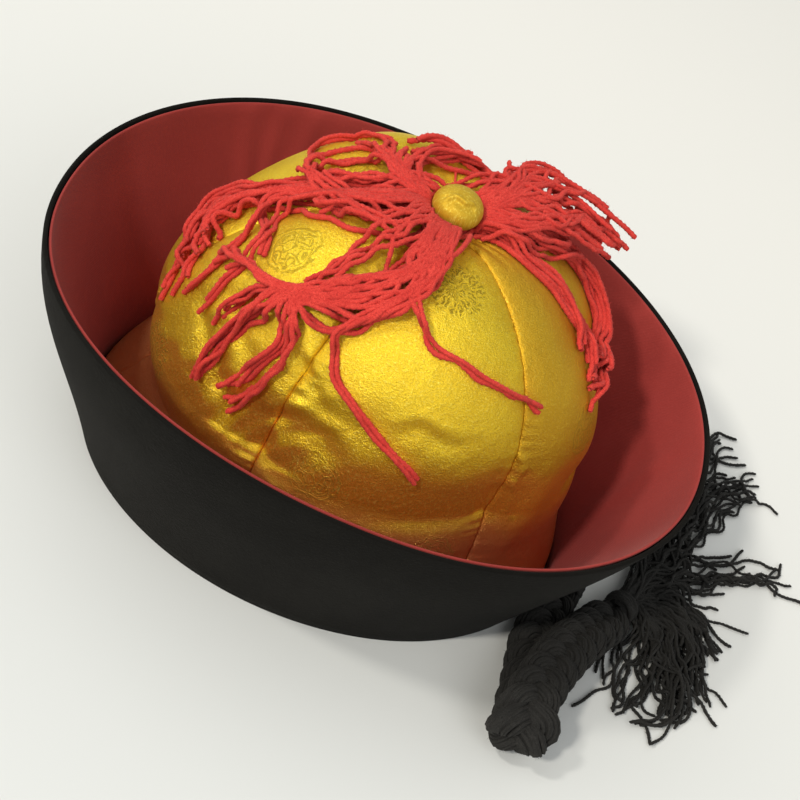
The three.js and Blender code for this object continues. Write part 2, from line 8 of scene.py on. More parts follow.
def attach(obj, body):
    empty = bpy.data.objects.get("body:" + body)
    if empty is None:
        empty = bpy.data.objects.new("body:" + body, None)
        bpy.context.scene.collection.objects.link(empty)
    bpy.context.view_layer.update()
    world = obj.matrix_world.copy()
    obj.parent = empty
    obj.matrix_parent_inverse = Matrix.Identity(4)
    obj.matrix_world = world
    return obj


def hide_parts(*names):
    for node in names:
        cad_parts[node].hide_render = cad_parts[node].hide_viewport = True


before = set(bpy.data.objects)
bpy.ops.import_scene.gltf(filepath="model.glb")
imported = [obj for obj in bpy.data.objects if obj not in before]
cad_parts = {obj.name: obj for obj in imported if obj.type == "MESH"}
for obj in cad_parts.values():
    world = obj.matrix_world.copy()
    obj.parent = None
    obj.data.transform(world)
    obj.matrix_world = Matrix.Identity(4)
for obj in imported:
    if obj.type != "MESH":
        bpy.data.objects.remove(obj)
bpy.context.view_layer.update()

# Lengths are in millimetres until new_piece writes a mesh. Headings are degrees round +Z:
# 0 is +X, 90 the back of the hat and 270 its front. Up is 0 at a wall's foot and 1 at its top.
MM = 0.001
random = np.random.default_rng(11)

# The photograph's view
VIEW = {"azimuth": 83.41, "elevation": 42.0, "roll": 26.72, "distance": 694.43, "fov": 26.52}
VIEW_TARGET = (-12.66, 17.56, 40.0)

# The same forms as the solids
BASE = {"x": 83.0, "y": 104.0}
FLARE = {"sides": 31.5, "ends": 32.2}
RIM = {"mean": 90.5, "front_up": 4.3, "sides_up": 2.9, "sway": 1.2, "squareness": 2.1}
BRIM_WALL = 1.8
BRIM_BELLY = {"front": 4.0, "sides": 1.5, "back": 1.0}
LINING = {"wall": 1.2, "gap": 0.5, "low": 0.016, "high": 0.985}
LINING_FOOT = {"wall": 0.5, "gap": 0.05, "reach": 0.09}  # thinner where the crown is near
CROWN = {
    "wall": 2.0,
    "foot_inset": 2.3,
    "foot_up": 0.4,
    "waist": 46.0,
    "shoulder": 64.0,
    "top": 140.0,
    "lean_x": -6.5,
    "lean_y": 4.0,
    "dimple": 7.0,
    "dimple_radius": 14.0,
    "apex_radius": 3.2,
}
CROWN_WAIST = {"front": 0.79, "sides": 0.9, "back": 0.87}
CROWN_SHOULDER = {"front": 0.86, "sides": 0.88, "back": 0.86}
CROWN_FULLNESS = {"front": 1.82, "sides": 2.9, "back": 1.82}
WAIST_UP = 0.25
SHOULDER_UP = 0.4
CLOTH_LENGTH = 175.0
GORES = 6
FIRST_SEAM = 41.0
SEAM_PINCH = 1.6
SEAM_REACH = 0.16
GORE_PUFF = 2.6
RELIEF_FADE = {"foot": 0.3, "apex": 0.22}
EDGE_TURN = 0.3
# Heading, up, half-length, half-width, turn and how far out, as in the solids
FOLDS = [
    (215, 0.74, 34, 24, 0, 4.0),
    (135, 0.72, 30, 24, 0, -2.5),
    (333, 0.45, 22, 8, -35, -3.2),
    (352, 0.47, 20, 8, 25, -2.4),
    (303, 0.5, 16, 9, 60, -2.4),
    (318, 0.58, 14, 9, -40, -1.8),
    (30, 0.4, 30, 9, 8, -2.2),
    (52, 0.36, 26, 8, 80, 2.0),
    (75, 0.42, 22, 9, -20, -1.8),
    (205, 0.42, 30, 10, 12, -2.0),
    (262, 0.38, 34, 9, 0, -2.0),
]
BUTTON = {"radius": 9.7, "height": 12.6, "lowest": -0.72, "bottom": 138.9}
TASSEL_TOP = 138.0


def ease(t):
    t = np.clip(t, 0, 1)
    return t * t * (3 - 2 * t)


def bell(x):
    return np.exp(-x * x)


def blend(a, b, t):
    return a + (b - a) * t


def around(row, s):
    """A row's value at the sine of a heading, between the sides and the front or the back."""
    return blend(row["sides"], np.where(s < 0, row["front"], row["back"]), s * s)


def signed_power(x, power):
    return np.sign(x) * np.abs(x) ** power


def unit(v):
    return v / np.maximum(np.linalg.norm(v, axis=-1, keepdims=True), 1e-9)


def ways(surface, heading, up, turn_step=0.05, up_step=0.001):
    """The way round the hat and the way up along a surface, at a place."""
    level = surface(heading + turn_step, up) - surface(heading - turn_step, up)
    return level, surface(heading, up + up_step) - surface(heading, up - up_step)


def normal_of(surface, heading, up):
    return unit(np.cross(*ways(surface, heading, up)))


def brim_face(heading, up):
    heading, up = np.broadcast_arrays(heading, up)
    turn = np.radians(heading)
    c, s = np.cos(turn), np.sin(turn)
    power = 2 / RIM["squareness"]
    top = RIM["mean"] - RIM["front_up"] * s + RIM["sides_up"] * (c * c - s * s)
    top = top - RIM["sway"] * np.sin(3 * turn)
    foot = np.stack([BASE["x"] * c, BASE["y"] * s, 0 * c], -1)
    rim_x = (BASE["x"] + FLARE["sides"]) * signed_power(c, power)
    rim_y = (BASE["y"] + FLARE["ends"]) * signed_power(s, power)
    belly = around(BRIM_BELLY, s) * np.sin(np.pi * np.clip(up, 0, 1) ** 2)
    out = np.stack([c * belly, s * belly, 0 * c], -1)
    return blend(foot, np.stack([rim_x, rim_y, top], -1), up[..., None]) + out


def in_brim(heading, up, depth):
    return brim_face(heading, up) - normal_of(brim_face, heading, up) * depth[..., None]


def crown_face(heading, up):
    heading, up = np.broadcast_arrays(heading, up)
    turn = np.radians(heading)
    c, s = np.cos(turn), np.sin(turn)
    oval = np.hypot(BASE["x"] * c, BASE["y"] * s)
    foot = 1 - CROWN["foot_inset"] / oval
    waist, shoulder = around(CROWN_WAIST, s), around(CROWN_SHOULDER, s)
    power = 2 / around(CROWN_FULLNESS, s)
    low = up / WAIST_UP
    middle = (up - WAIST_UP) / (SHOULDER_UP - WAIST_UP)
    steepest = np.arccos((CROWN["apex_radius"] / (shoulder * oval)) ** (1 / power))
    t = np.clip(steepest * (up - SHOULDER_UP) / (1 - SHOULDER_UP), 0, np.pi / 2)
    rise = np.where(up < SHOULDER_UP, 0, np.sin(t) ** power)

    def of_part(below_waist, neck, dome):
        return np.where(up < WAIST_UP, below_waist, np.where(up < SHOULDER_UP, neck, dome))

    neck = blend(waist, shoulder, np.sin(np.pi / 2 * middle))
    share = of_part(blend(foot, waist, ease(low)), neck, shoulder * np.maximum(np.cos(t), 0) ** power)
    z = of_part(
        blend(CROWN["foot_up"], CROWN["waist"], low),
        blend(CROWN["waist"], CROWN["shoulder"], middle),
        blend(CROWN["shoulder"], CROWN["top"], rise),
    )
    x, y = BASE["x"] * share * c, BASE["y"] * share * s
    dip = CROWN["dimple"] * bell(np.hypot(x, y) / CROWN["dimple_radius"])
    return np.stack([x + CROWN["lean_x"] * rise, y + CROWN["lean_y"] * rise, z - dip * rise], -1)


def over_apex(z):
    """The place over the middle of the crown's top, at a height."""
    return np.array([CROWN["lean_x"], CROWN["lean_y"], z])


def across_gore(heading):
    """Where a heading lies across its gore, from -1 at one seam to 1 at the other."""
    span = 360 / GORES
    return 2 * np.mod(heading - FIRST_SEAM, span) / span - 1


def turned_from(heading, start):
    return np.mod(heading - start + 540, 360) - 180


def level_from(heading, start):
    """The distance round the crown from a heading, in the flat cloth's measure."""
    return np.radians(turned_from(heading, start)) * BASE["x"]


def relief(heading, up):
    """How far the cloth stands out of the plain crown, as in the solids."""
    heading, up = np.broadcast_arrays(heading, up)
    x = across_gore(heading)
    height = ease(up / RELIEF_FADE["foot"]) * ease((1 - up) / RELIEF_FADE["apex"])
    out = (GORE_PUFF * (1 - x * x) - SEAM_PINCH * np.exp(-(1 - np.abs(x)) / SEAM_REACH)) * height
    for fold, middle, long, wide, turn, far in FOLDS:
        level, upward = level_from(heading, fold), (up - middle) * CLOTH_LENGTH
        c, s = math.cos(math.radians(turn)), math.sin(math.radians(turn))
        along, across = (level * c + upward * s) / long, (upward * c - level * s) / wide
        out = out + far * np.exp(-along * along - across * across)
    return out


# Small creases of the satin: stops of heading and up, half-width, and how far out.
CREASES = [
    ([(337, 0.475), (346, 0.485), (354, 0.485), (360, 0.465)], 2.6, 1.3),
    ([(339, 0.45), (349, 0.455), (357, 0.44)], 3.4, -1.2),
    ([(337, 0.475), (340, 0.43), (346, 0.40)], 2.0, 0.9),
    ([(368, 0.50), (370, 0.55), (376, 0.53), (384, 0.535)], 3.0, -0.9),
    ([(364, 0.535), (371, 0.575), (380, 0.555)], 2.4, 0.6),
    ([(400, 0.54), (404, 0.50), (403, 0.46), (405, 0.43), (408, 0.33)], 1.7, 1.4),
    ([(396, 0.50), (398, 0.44), (399, 0.38)], 2.6, -1.0),
    ([(305, 0.54), (308, 0.58), (314, 0.60)], 2.2, -1.1),
    ([(309, 0.53), (317, 0.565), (321, 0.56)], 1.8, 1.0),
    ([(301, 0.60), (309, 0.63)], 2.4, 0.7),
    ([(345, 0.615), (344, 0.57), (344, 0.52)], 1.6, 1.0),
    ([(338, 0.60), (342, 0.58), (343, 0.55)], 1.5, 0.8),
    ([(301, 0.545), (312, 0.51), (324, 0.458), (333, 0.40)], 2.8, -1.7),
    ([(315, 0.565), (323, 0.52), (331, 0.46)], 3.2, 1.5),
    ([(335, 0.578), (343, 0.55), (349, 0.505), (351, 0.47)], 2.8, -1.5),
    ([(97, 0.52), (108, 0.45), (112, 0.38)], 2.2, 1.1),
    ([(158, 0.5), (165, 0.42), (163, 0.35)], 2.2, 1.2),
    ([(223, 0.52), (217, 0.43), (220, 0.36)], 2.2, 1.1),
    ([(284, 0.47), (279, 0.4), (281, 0.33)], 2.2, 1.0),
    ([(124, 0.41), (139, 0.375), (149, 0.38)], 2.8, -1.1),
    ([(186, 0.46), (199, 0.43), (208, 0.45)], 2.8, -1.0),
    ([(66, 0.43), (78, 0.40), (88, 0.42)], 2.6, -0.9),
    ([(240, 0.44), (252, 0.42), (262, 0.44)], 2.6, -0.9),
]
CREASE_END = 0.2  # the share of a crease over which it fades at each end
# Crumples near the front of the near side, in a patch of the flat cloth, and slack elsewhere
CRUMPLE = {"out": 1.6, "heading": 320, "level": 14, "upward": 81, "long": 33, "wide": 16}
SLACK = {"out": 0.12, "from": 0.35, "to": 0.93, "fade": 0.1}
GATHERS = {"count": 24, "out": 0.4, "reach": 15.0}  # radial puckers round the button
PUCKERS = {"every": 5.5, "out": 0.3, "from_seam": 2, "reach": 5.0, "fade": 0.3}  # along the seams


def to_polyline(x, y, stops):
    """The distance of points (x, y) from a line through stops, and the share of its length."""
    nearest = np.full(np.shape(x), 1e9)
    share = np.zeros(np.shape(x))
    count = len(stops) - 1
    for k in range(count):
        (ax, ay), (bx, by) = stops[k], stops[k + 1]
        dx, dy = bx - ax, by - ay
        t = np.clip(((x - ax) * dx + (y - ay) * dy) / (dx * dx + dy * dy), 0, 1)
        distance = np.hypot(x - ax - t * dx, y - ay - t * dy)
        share = np.where(distance < nearest, (k + t) / count, share)
        nearest = np.minimum(distance, nearest)
    return nearest, share


def fading(share, reach):
    """1 along the middle of a share from 0 to 1, and 0 at both ends."""
    return ease(share / reach) * ease((1 - share) / reach)


def crumples(heading, up):
    level, upward = level_from(heading, CRUMPLE["heading"]), up * CLOTH_LENGTH
    folded = np.sin(level / 5.1 + 1.9 * np.sin(upward / 8.3) + 0.8)
    folded = folded * np.sin(upward / 4.6 + 1.6 * np.sin(level / 9.7))
    folded = folded + 0.6 * np.sin(level / 2.9 - upward / 4.3 + 2.2 * np.sin((level + upward) / 12.1))
    x, y = (level - CRUMPLE["level"]) / CRUMPLE["long"], (upward - CRUMPLE["upward"]) / CRUMPLE["wide"]
    slack = SLACK["out"] * ease(up / SLACK["from"]) * ease((SLACK["to"] - up) / SLACK["fade"])
    slack = slack * (0.5 + 0.5 * np.sin(level / 21) * np.sin(upward / 17))
    return (0.8 - np.abs(folded)) * (CRUMPLE["out"] * np.exp(-x * x - y * y) + slack)


def fine_relief(heading, up):
    """The solids' relief with the small creases, gathers and puckers of the satin."""
    out = relief(heading, up)
    for stops, wide, far in CREASES:
        first = stops[0][0]
        line = [(math.radians(h - first) * BASE["x"], u * CLOTH_LENGTH) for h, u in stops]
        distance, share = to_polyline(level_from(heading, first), up * CLOTH_LENGTH, line)
        out = out + far * (0.25 + 0.75 * fading(share, CREASE_END)) * bell(distance / wide)
    out = out + crumples(heading, up)
    from_top = (1 - up) * CLOTH_LENGTH
    turn = np.radians(heading)
    gather = np.cos(turn * GATHERS["count"] + 2 * np.sin(turn * 5))
    out = out + GATHERS["out"] * gather * bell(from_top / GATHERS["reach"])
    x = across_gore(heading)
    from_seam = (1 - np.abs(x)) * np.radians(180 / GORES) * BASE["x"] * ease(from_top / 70)
    pucker = np.sin(up * CLOTH_LENGTH * 2 * np.pi / PUCKERS["every"] + 3 * np.sin(up * 23))
    pucker = pucker * bell((from_seam - PUCKERS["from_seam"]) / PUCKERS["reach"])
    return out + PUCKERS["out"] * pucker * fading(up, PUCKERS["fade"]) * (0.5 + 0.5 * np.sin(up * 17 + x))


def on_crown(heading, up, out, shape=relief):
    normal = normal_of(crown_face, heading, up)
    return crown_face(heading, up) + normal * (shape(heading, up) + out)[..., None]


def add_camera():
    azimuth, elevation = math.radians(VIEW["azimuth"]), math.radians(VIEW["elevation"])
    level = math.cos(elevation)
    back = Vector((math.sin(azimuth) * level, -math.cos(azimuth) * level, math.sin(elevation)))
    right = (-back).cross(Vector((0, 0, 1))).normalized()
    up = right.cross(-back)
    roll = math.radians(VIEW["roll"])
    across = right * math.cos(roll) + up * math.sin(roll)
    upright = up * math.cos(roll) - right * math.sin(roll)
    place = (Vector(VIEW_TARGET) + back * VIEW["distance"]) * MM
    camera = bpy.data.objects.new("camera", bpy.data.cameras.new("camera"))
    camera.data.sensor_fit = "HORIZONTAL"
    camera.data.angle = math.radians(VIEW["fov"])
    camera.data.clip_start = 0.01
    camera.matrix_world = Matrix.Translation(place) @ Matrix((across, upright, back)).transposed().to_4x4()
    bpy.context.scene.collection.objects.link(camera)
    bpy.context.scene.camera = camera


# Meshes


def new_piece(name, points, faces, material, maps=None, motif=None):
    """A mesh from points in millimetres and arrays of faces. It may have a cloth map for each
    face's corners and a place in a woven motif for each point."""
    mesh = bpy.data.meshes.new(name)
    points = np.asarray(points, float).reshape(-1, 3) * MM
    sizes = np.concatenate([np.full(len(f), f.shape[1]) for f in faces])
    corners = np.concatenate([f.ravel() for f in faces]).astype(np.int32)
    mesh.vertices.add(len(points))
    mesh.vertices.foreach_set("co", points.astype(np.float32).ravel())
    mesh.loops.add(len(corners))
    mesh.loops.foreach_set("vertex_index", corners)
    mesh.polygons.add(len(sizes))
    starts = np.concatenate([[0], np.cumsum(sizes)[:-1]]).astype(np.int32)
    mesh.polygons.foreach_set("loop_start", starts)
    mesh.polygons.foreach_set("use_smooth", np.ones(len(sizes), bool))
    mesh.update(calc_edges=True)
    if maps is not None:
        layer = mesh.uv_layers.new(name="cloth")
        flat = np.concatenate([m.reshape(-1, 2) for m in maps]) * MM
        layer.uv.foreach_set("vector", flat.astype(np.float32).ravel())
    if motif is not None:
        attribute = mesh.attributes.new("motif", "FLOAT_VECTOR", "POINT")
        attribute.data.foreach_set("vector", motif.astype(np.float32).ravel())
    mesh.validate()
    mesh.materials.append(material)
    piece = bpy.data.objects.new(name, mesh)
    bpy.context.scene.collection.objects.link(piece)
    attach(piece, "root")
    return piece


def grid_faces(columns, rows, wrap_columns, wrap_rows):
    """Quads of a grid of points[column, row], and each corner's own column and row."""
    wide = columns if wrap_columns else columns - 1
    high = rows if wrap_rows else rows - 1
    i, j = np.meshgrid(np.arange(wide), np.arange(high), indexing="ij")
    ci = np.stack([i, i + 1, i + 1, i], -1).reshape(-1, 4)
    cj = np.stack([j, j, j + 1, j + 1], -1).reshape(-1, 4)
    return (ci % columns) * rows + cj % rows, ci, cj


def running(points, axis=0):
    """The distance run along a line, or along an axis of a grid of points, from 0."""
    step = np.linalg.norm(np.diff(points, axis=axis), axis=-1)
    zero = np.zeros_like(np.take(step, [0], axis=axis))
    return np.concatenate([zero, np.cumsum(step, axis=axis)], axis=axis)


def ring_wall(name, section, material):
    """A closed wall round the hat from a closed section at each heading."""
    columns, rows = section.shape[:2]
    faces, ci, cj = grid_faces(columns, rows, True, True)
    along = running(np.concatenate([section, section[:, :1]], 1), 1).mean(0)
    level = running(np.concatenate([section[:, rows // 4], section[:1, rows // 4]]))
    maps = np.stack([level[ci], along[cj]], -1)
    return new_piece(name, section, [faces], material, [maps])


def smooth_path(stops, step):
    """Points every step along a centripetal curve through stops, as the solids' curves run."""
    stops = np.asarray(stops, float)
    p = np.concatenate([[2 * stops[0] - stops[1]], stops, [2 * stops[-1] - stops[-2]]])
    gaps = np.maximum(np.linalg.norm(np.diff(p, axis=0), axis=1) ** 0.5, 1e-4)
    t = np.linspace(0, 1, 24, endpoint=False)[:, None]
    made = []
    for k in range(len(stops) - 1):
        a, b, c, d = p[k : k + 4]
        g0, g1, g2 = gaps[k : k + 3]
        leave = ((b - a) / g0 - (c - a) / (g0 + g1) + (c - b) / g1) * g1
        arrive = ((c - b) / g1 - (d - b) / (g1 + g2) + (d - c) / g2) * g1
        curve = b + leave * t + (3 * (c - b) - 2 * leave - arrive) * t**2
        made.append(curve + (2 * (b - c) + leave + arrive) * t**3)
    return spaced(np.concatenate(made + [stops[-1:]]), step)


def spaced(line, step):
    """A line's points again, about a step apart."""
    run = running(line)
    at = np.linspace(0, run[-1], max(3, int(round(run[-1] / step)) + 1))
    return np.stack([np.interp(at, run, part) for part in line.T], -1)


def tangents(line):
    return unit(np.gradient(line, axis=0))


def left_of(line):
    """The direction to the left of a flat line, at each of its points."""
    along = tangents(line)
    return np.stack([-along[:, 1], along[:, 0]], -1)


TUBE_UNEVEN = 0.05
TUBE_ENDS = {"first": 0.6, "last": 0.7}  # the size of its end rings
FLARE_REACH = 2.2


def tube(line, ups, radius, sides, pitch=0.0, lobes=0.0, wide=None, flare=0.0, phase=0.0):
    """Points and faces of a closed tube. It may have two twisted plies, or an oval section."""
    rings = len(line)
    along = tangents(line)
    side = unit(np.cross(along, ups))
    up = np.cross(side, along)
    turn = 2 * np.pi * np.arange(sides) / sides
    run = running(line)
    twist = 2 * np.pi * run / pitch + phase if pitch else np.zeros(rings)
    size = 1 + lobes * np.cos(2 * (turn[None] - twist[:, None]))
    if lobes:
        size = size * (1 + TUBE_UNEVEN * random.standard_normal(rings))[:, None]
    if flare:
        size = size * (1 + flare * np.exp((run - run[-1]) / FLARE_REACH))[:, None]
    size[0] *= TUBE_ENDS["first"]
    size[-1] *= TUBE_ENDS["last"]
    across = radius if wide is None else wide
    a = np.broadcast_to(across, (rings,))[:, None] * size * np.cos(turn)
    b = np.broadcast_to(radius, (rings,))[:, None] * size * np.sin(turn)
    rim = line[:, None] + side[:, None] * a[..., None] + up[:, None] * b[..., None]
    points = np.concatenate([rim.reshape(-1, 3), line[:1], line[-1:]])
    quads = grid_faces(rings, sides, False, True)[0][:, ::-1]
    i = np.arange(sides)
    j = (i + 1) % sides
    low = np.stack([np.full(sides, rings * sides), i, j], -1)
    last = (rings - 1) * sides
    high = np.stack([np.full(sides, rings * sides + 1), last + j, last + i], -1)
    return points, quads, np.concatenate([low, high])


def tubes_piece(name, tubes, material):
    """One piece of many tubes."""
    points, quads, fans = zip(*tubes)
    first = np.cumsum([0] + [len(p) for p in points])
    faces = [np.concatenate([f + k for f, k in zip(part, first)]) for part in (quads, fans)]
    return new_piece(name, np.concatenate(points), faces, material)


FLOOR_GAP = 0.1  # how far loose fibres stay off the surface
FIBRE = {"sunk": 0.85, "least_out": 0.45, "shortest": 0.5, "longest": 1.3}


def fuzz(name, lines, material, slot, every, length, thick):
    """Loose fibres that stand off yarns: slim closed spikes, at random places along them."""
    spikes = []
    for line, radius in lines:
        count = int(running(line)[-1] / every)
        if count == 0:
            continue
        at = random.uniform(0, len(line) - 1.001, count)
        low = at.astype(int)
        middle = blend(line[low], line[low + 1], (at - low)[:, None])
        along = tangents(line)[low]
        out = random.standard_normal((count, 3))
        out = unit(out - along * (out * along).sum(1)[:, None])
        lean = out * random.uniform(FIBRE["least_out"], 1, (count, 1))
        lean = unit(lean + along * random.uniform(-1, 1, (count, 1)))
        root = middle + out * radius * FIBRE["sunk"]
        tip = root + lean * length * random.uniform(FIBRE["shortest"], FIBRE["longest"], (count, 1))
        across = unit(np.cross(lean, along + 0.01))
        other = np.cross(lean, across)
        corners = [root + thick * across, root + thick * (0.87 * other - 0.5 * across)]
        corners.append(root - thick * (0.87 * other + 0.5 * across))
        spikes.append(np.stack(corners + [tip], 1))
    points = np.concatenate(spikes)
    points[..., 2] = np.maximum(points[..., 2], FLOOR_GAP + 0.05 * np.arange(4))
    sides = np.array([[0, 2, 1], [0, 1, 3], [1, 2, 3], [2, 0, 3]])
    faces = (4 * np.arange(len(points))[:, None, None] + sides).reshape(-1, 3)
    return new_piece(name, points, [faces], material)


# Materials


class Output:
    """A node's output, which can be added to others, taken from them or multiplied."""

    def __init__(self, nodes, socket):
        self.nodes, self.socket = nodes, socket

    def __add__(self, other):
        return self.nodes.math("ADD", self, other)

    def __sub__(self, other):
        return self.nodes.math("SUBTRACT", self, other)

    def __mul__(self, other):
        return self.nodes.math("MULTIPLY", self, other)


class Nodes:
    """A material's node tree, built call by call."""

    def __init__(self, name):
        self.material = bpy.data.materials.new(name)
        self.material.use_nodes = True
        self.tree = self.material.node_tree
        self.shader = self.tree.nodes["Principled BSDF"]

    def put(self, socket, value):
        if isinstance(value, Output):
            self.tree.links.new(value.socket, socket)
        elif isinstance(value, tuple) and socket.type == "RGBA":
            socket.default_value = (*value, 1)
        else:
            socket.default_value = value

    def node(self, kind, out=0, inputs=(), **settings):
        node = self.tree.nodes.new(kind)
        for key, value in settings.items():
            setattr(node, key, value)
        for key, value in dict(inputs).items():
            self.put(node.inputs[key], value)
        return Output(self, node.outputs[out])

    def math(self, operation, a, b=0.0):
        return self.node("ShaderNodeMath", 0, {0: a, 1: b}, operation=operation)

    def sine(self, a):
        return self.math("SINE", a)

    def vector(self, operation, a, b=(0, 0, 0), out=0):
        return self.node("ShaderNodeVectorMath", out, {0: a, 1: b}, operation=operation)

    def steps(self, value, low, high, to_low=0.0, to_high=1.0):
        made = {"Value": value, "From Min": low, "From Max": high, "To Min": to_low, "To Max": to_high}
        return self.node("ShaderNodeMapRange", 0, made, interpolation_type="SMOOTHSTEP")

    def mix(self, share, a, b):
        return self.node("ShaderNodeMix", 2, {"Factor": share, 6: a, 7: b}, data_type="RGBA")

    def noise(self, where, scale, detail=2.0, roughness=0.5):
        made = {"Vector": where, "Scale": scale, "Detail": detail, "Roughness": roughness}
        return self.node("ShaderNodeTexNoise", 0, made)

    def place(self):
        return self.node("ShaderNodeTexCoord", "Object")

    def cloth(self):
        return self.node("ShaderNodeUVMap", 0, uv_map="cloth")

    def split(self, vector):
        node = self.tree.nodes.new("ShaderNodeSeparateXYZ")
        self.put(node.inputs[0], vector)
        return [Output(self, socket) for socket in node.outputs]

    def bump(self, height, distance, strength=1.0, normal=None):
        made = {"Height": height, "Distance": distance, "Strength": strength}
        if normal is not None:
            made["Normal"] = normal
        return self.node("ShaderNodeBump", 0, made)

    def set(self, **sockets):
        for key, value in sockets.items():
            self.put(self.shader.inputs[key.replace("_", " ")], value)
        return self.material


def velvet():
    n = Nodes("black_velvet")
    where = n.place()
    brushed = n.noise(where, 22.0, 3.0, 0.6)
    pile = n.noise(where, 2600.0, 2.0, 0.7)
    tufts = n.noise(where, 700.0, 2.0, 0.6)
    color = n.mix(n.steps(brushed, 0.35, 0.7), (0.0060, 0.0054, 0.0044), (0.0100, 0.0092, 0.0076))
    color = n.mix(n.steps(pile, 0.35, 0.75, 0.0, 0.5), color, (0.0135, 0.0125, 0.0105))
    normal = n.bump(pile + tufts * 1.5, 0.00035, 0.7)
    n.set(Base_Color=color, Roughness=0.92, Normal=normal, Sheen_Weight=0.035, Sheen_Roughness=0.3)
    return n.set(Sheen_Tint=(0.7, 0.68, 0.62), Specular_IOR_Level=0.05)


def red_cloth():
    n = Nodes("red_cloth")
    cloth = n.cloth()
    u, v, _ = n.split(cloth)
    threads = 2 * math.pi / 0.0009
    weave = n.sine(u * threads) * n.sine(v * threads)
    slub = n.noise(cloth, 900.0, 2.0)
    soft = n.noise(n.place(), 24.0, 3.0)
    color = n.mix(n.steps(soft, 0.3, 0.7), (0.280, 0.031, 0.025), (0.335, 0.040, 0.032))
    color = n.mix(n.steps(weave, -1.0, 1.0, 0.0, 0.16), color, (0.20, 0.015, 0.014))
    color = n.mix(n.steps(slub, 0.5, 0.8, 0.0, 0.3), color, (0.40, 0.055, 0.047))
    normal = n.bump(weave * 0.5 + slub, 0.00012, 0.5)
    n.set(Base_Color=color, Roughness=0.85, Normal=normal, Sheen_Weight=0.1, Sheen_Roughness=0.5)
    return n.set(Sheen_Tint=(1.0, 0.75, 0.7), Specular_IOR_Level=0.2)


def medallion(n):
    """A woven roundel from the motif's own coordinates, where its rim is at 1 and z is its kind."""
    where = n.node("ShaderNodeAttribute", "Vector", attribute_name="motif")
    kind = n.split(where)[2]
    flat = n.vector("MULTIPLY", where, (1.0, 1.0, 0.0))
    ragged = n.noise(flat, 7.0, 2.0, 0.6)
    pulled = n.node("ShaderNodeTexNoise", "Color", {"Vector": flat, "Scale": 2.2, "Detail": 1.0})
    pulled = n.vector("MULTIPLY", n.vector("SUBTRACT", pulled, (0.5, 0.5, 0.5)), (0.6, 0.6, 0.0))
    drawn = n.vector("ADD", flat, pulled)
    x, y, _ = n.split(drawn)
    rim = n.vector("LENGTH", flat, out="Value")
    far = n.vector("LENGTH", drawn, out="Value")
    turn = n.math("ARCTAN2", y, x)
    inside = n.steps(ragged * 0.5 + rim, 1.05, 1.2, 1.0, 0.0) * n.steps(kind, 1.5, 2.0, 1.0, 0.0)
    # A flower of rows of petals, each petal with fine veins
    ring = far * 3.3
    lobe = n.math("ABSOLUTE", n.sine(turn * 3.5 + n.math("FLOOR", ring) * 1.57))
    petal = n.math("FRACT", ring - lobe * 0.42)
    vein = n.sine(turn * 27.0 + ragged * 9.0)
    petals = n.steps(petal, 0.1, 0.3) * n.steps(vein, -0.5, 0.4)
    # A cloud of nested arcs
    cells = {"Vector": drawn, "Scale": 2.0, "Randomness": 0.85}
    arc = n.node("ShaderNodeTexVoronoi", "Distance", cells)
    hoops = n.steps(rim, 0.58, 0.66) * (far - arc)
    curls = n.steps(n.sine((arc + hoops) * 34.0), -0.3, 0.5)
    woven = petals + (curls - petals) * n.steps(kind, 0.4, 0.6)
    worn = n.steps(n.noise(flat, 24.0, 3.0, 0.75), 0.36, 0.56, 0.12, 1.0)
    return woven * (worn * n.steps(kind, 0.4, 0.6, 1.0, 0.55)) * inside, inside


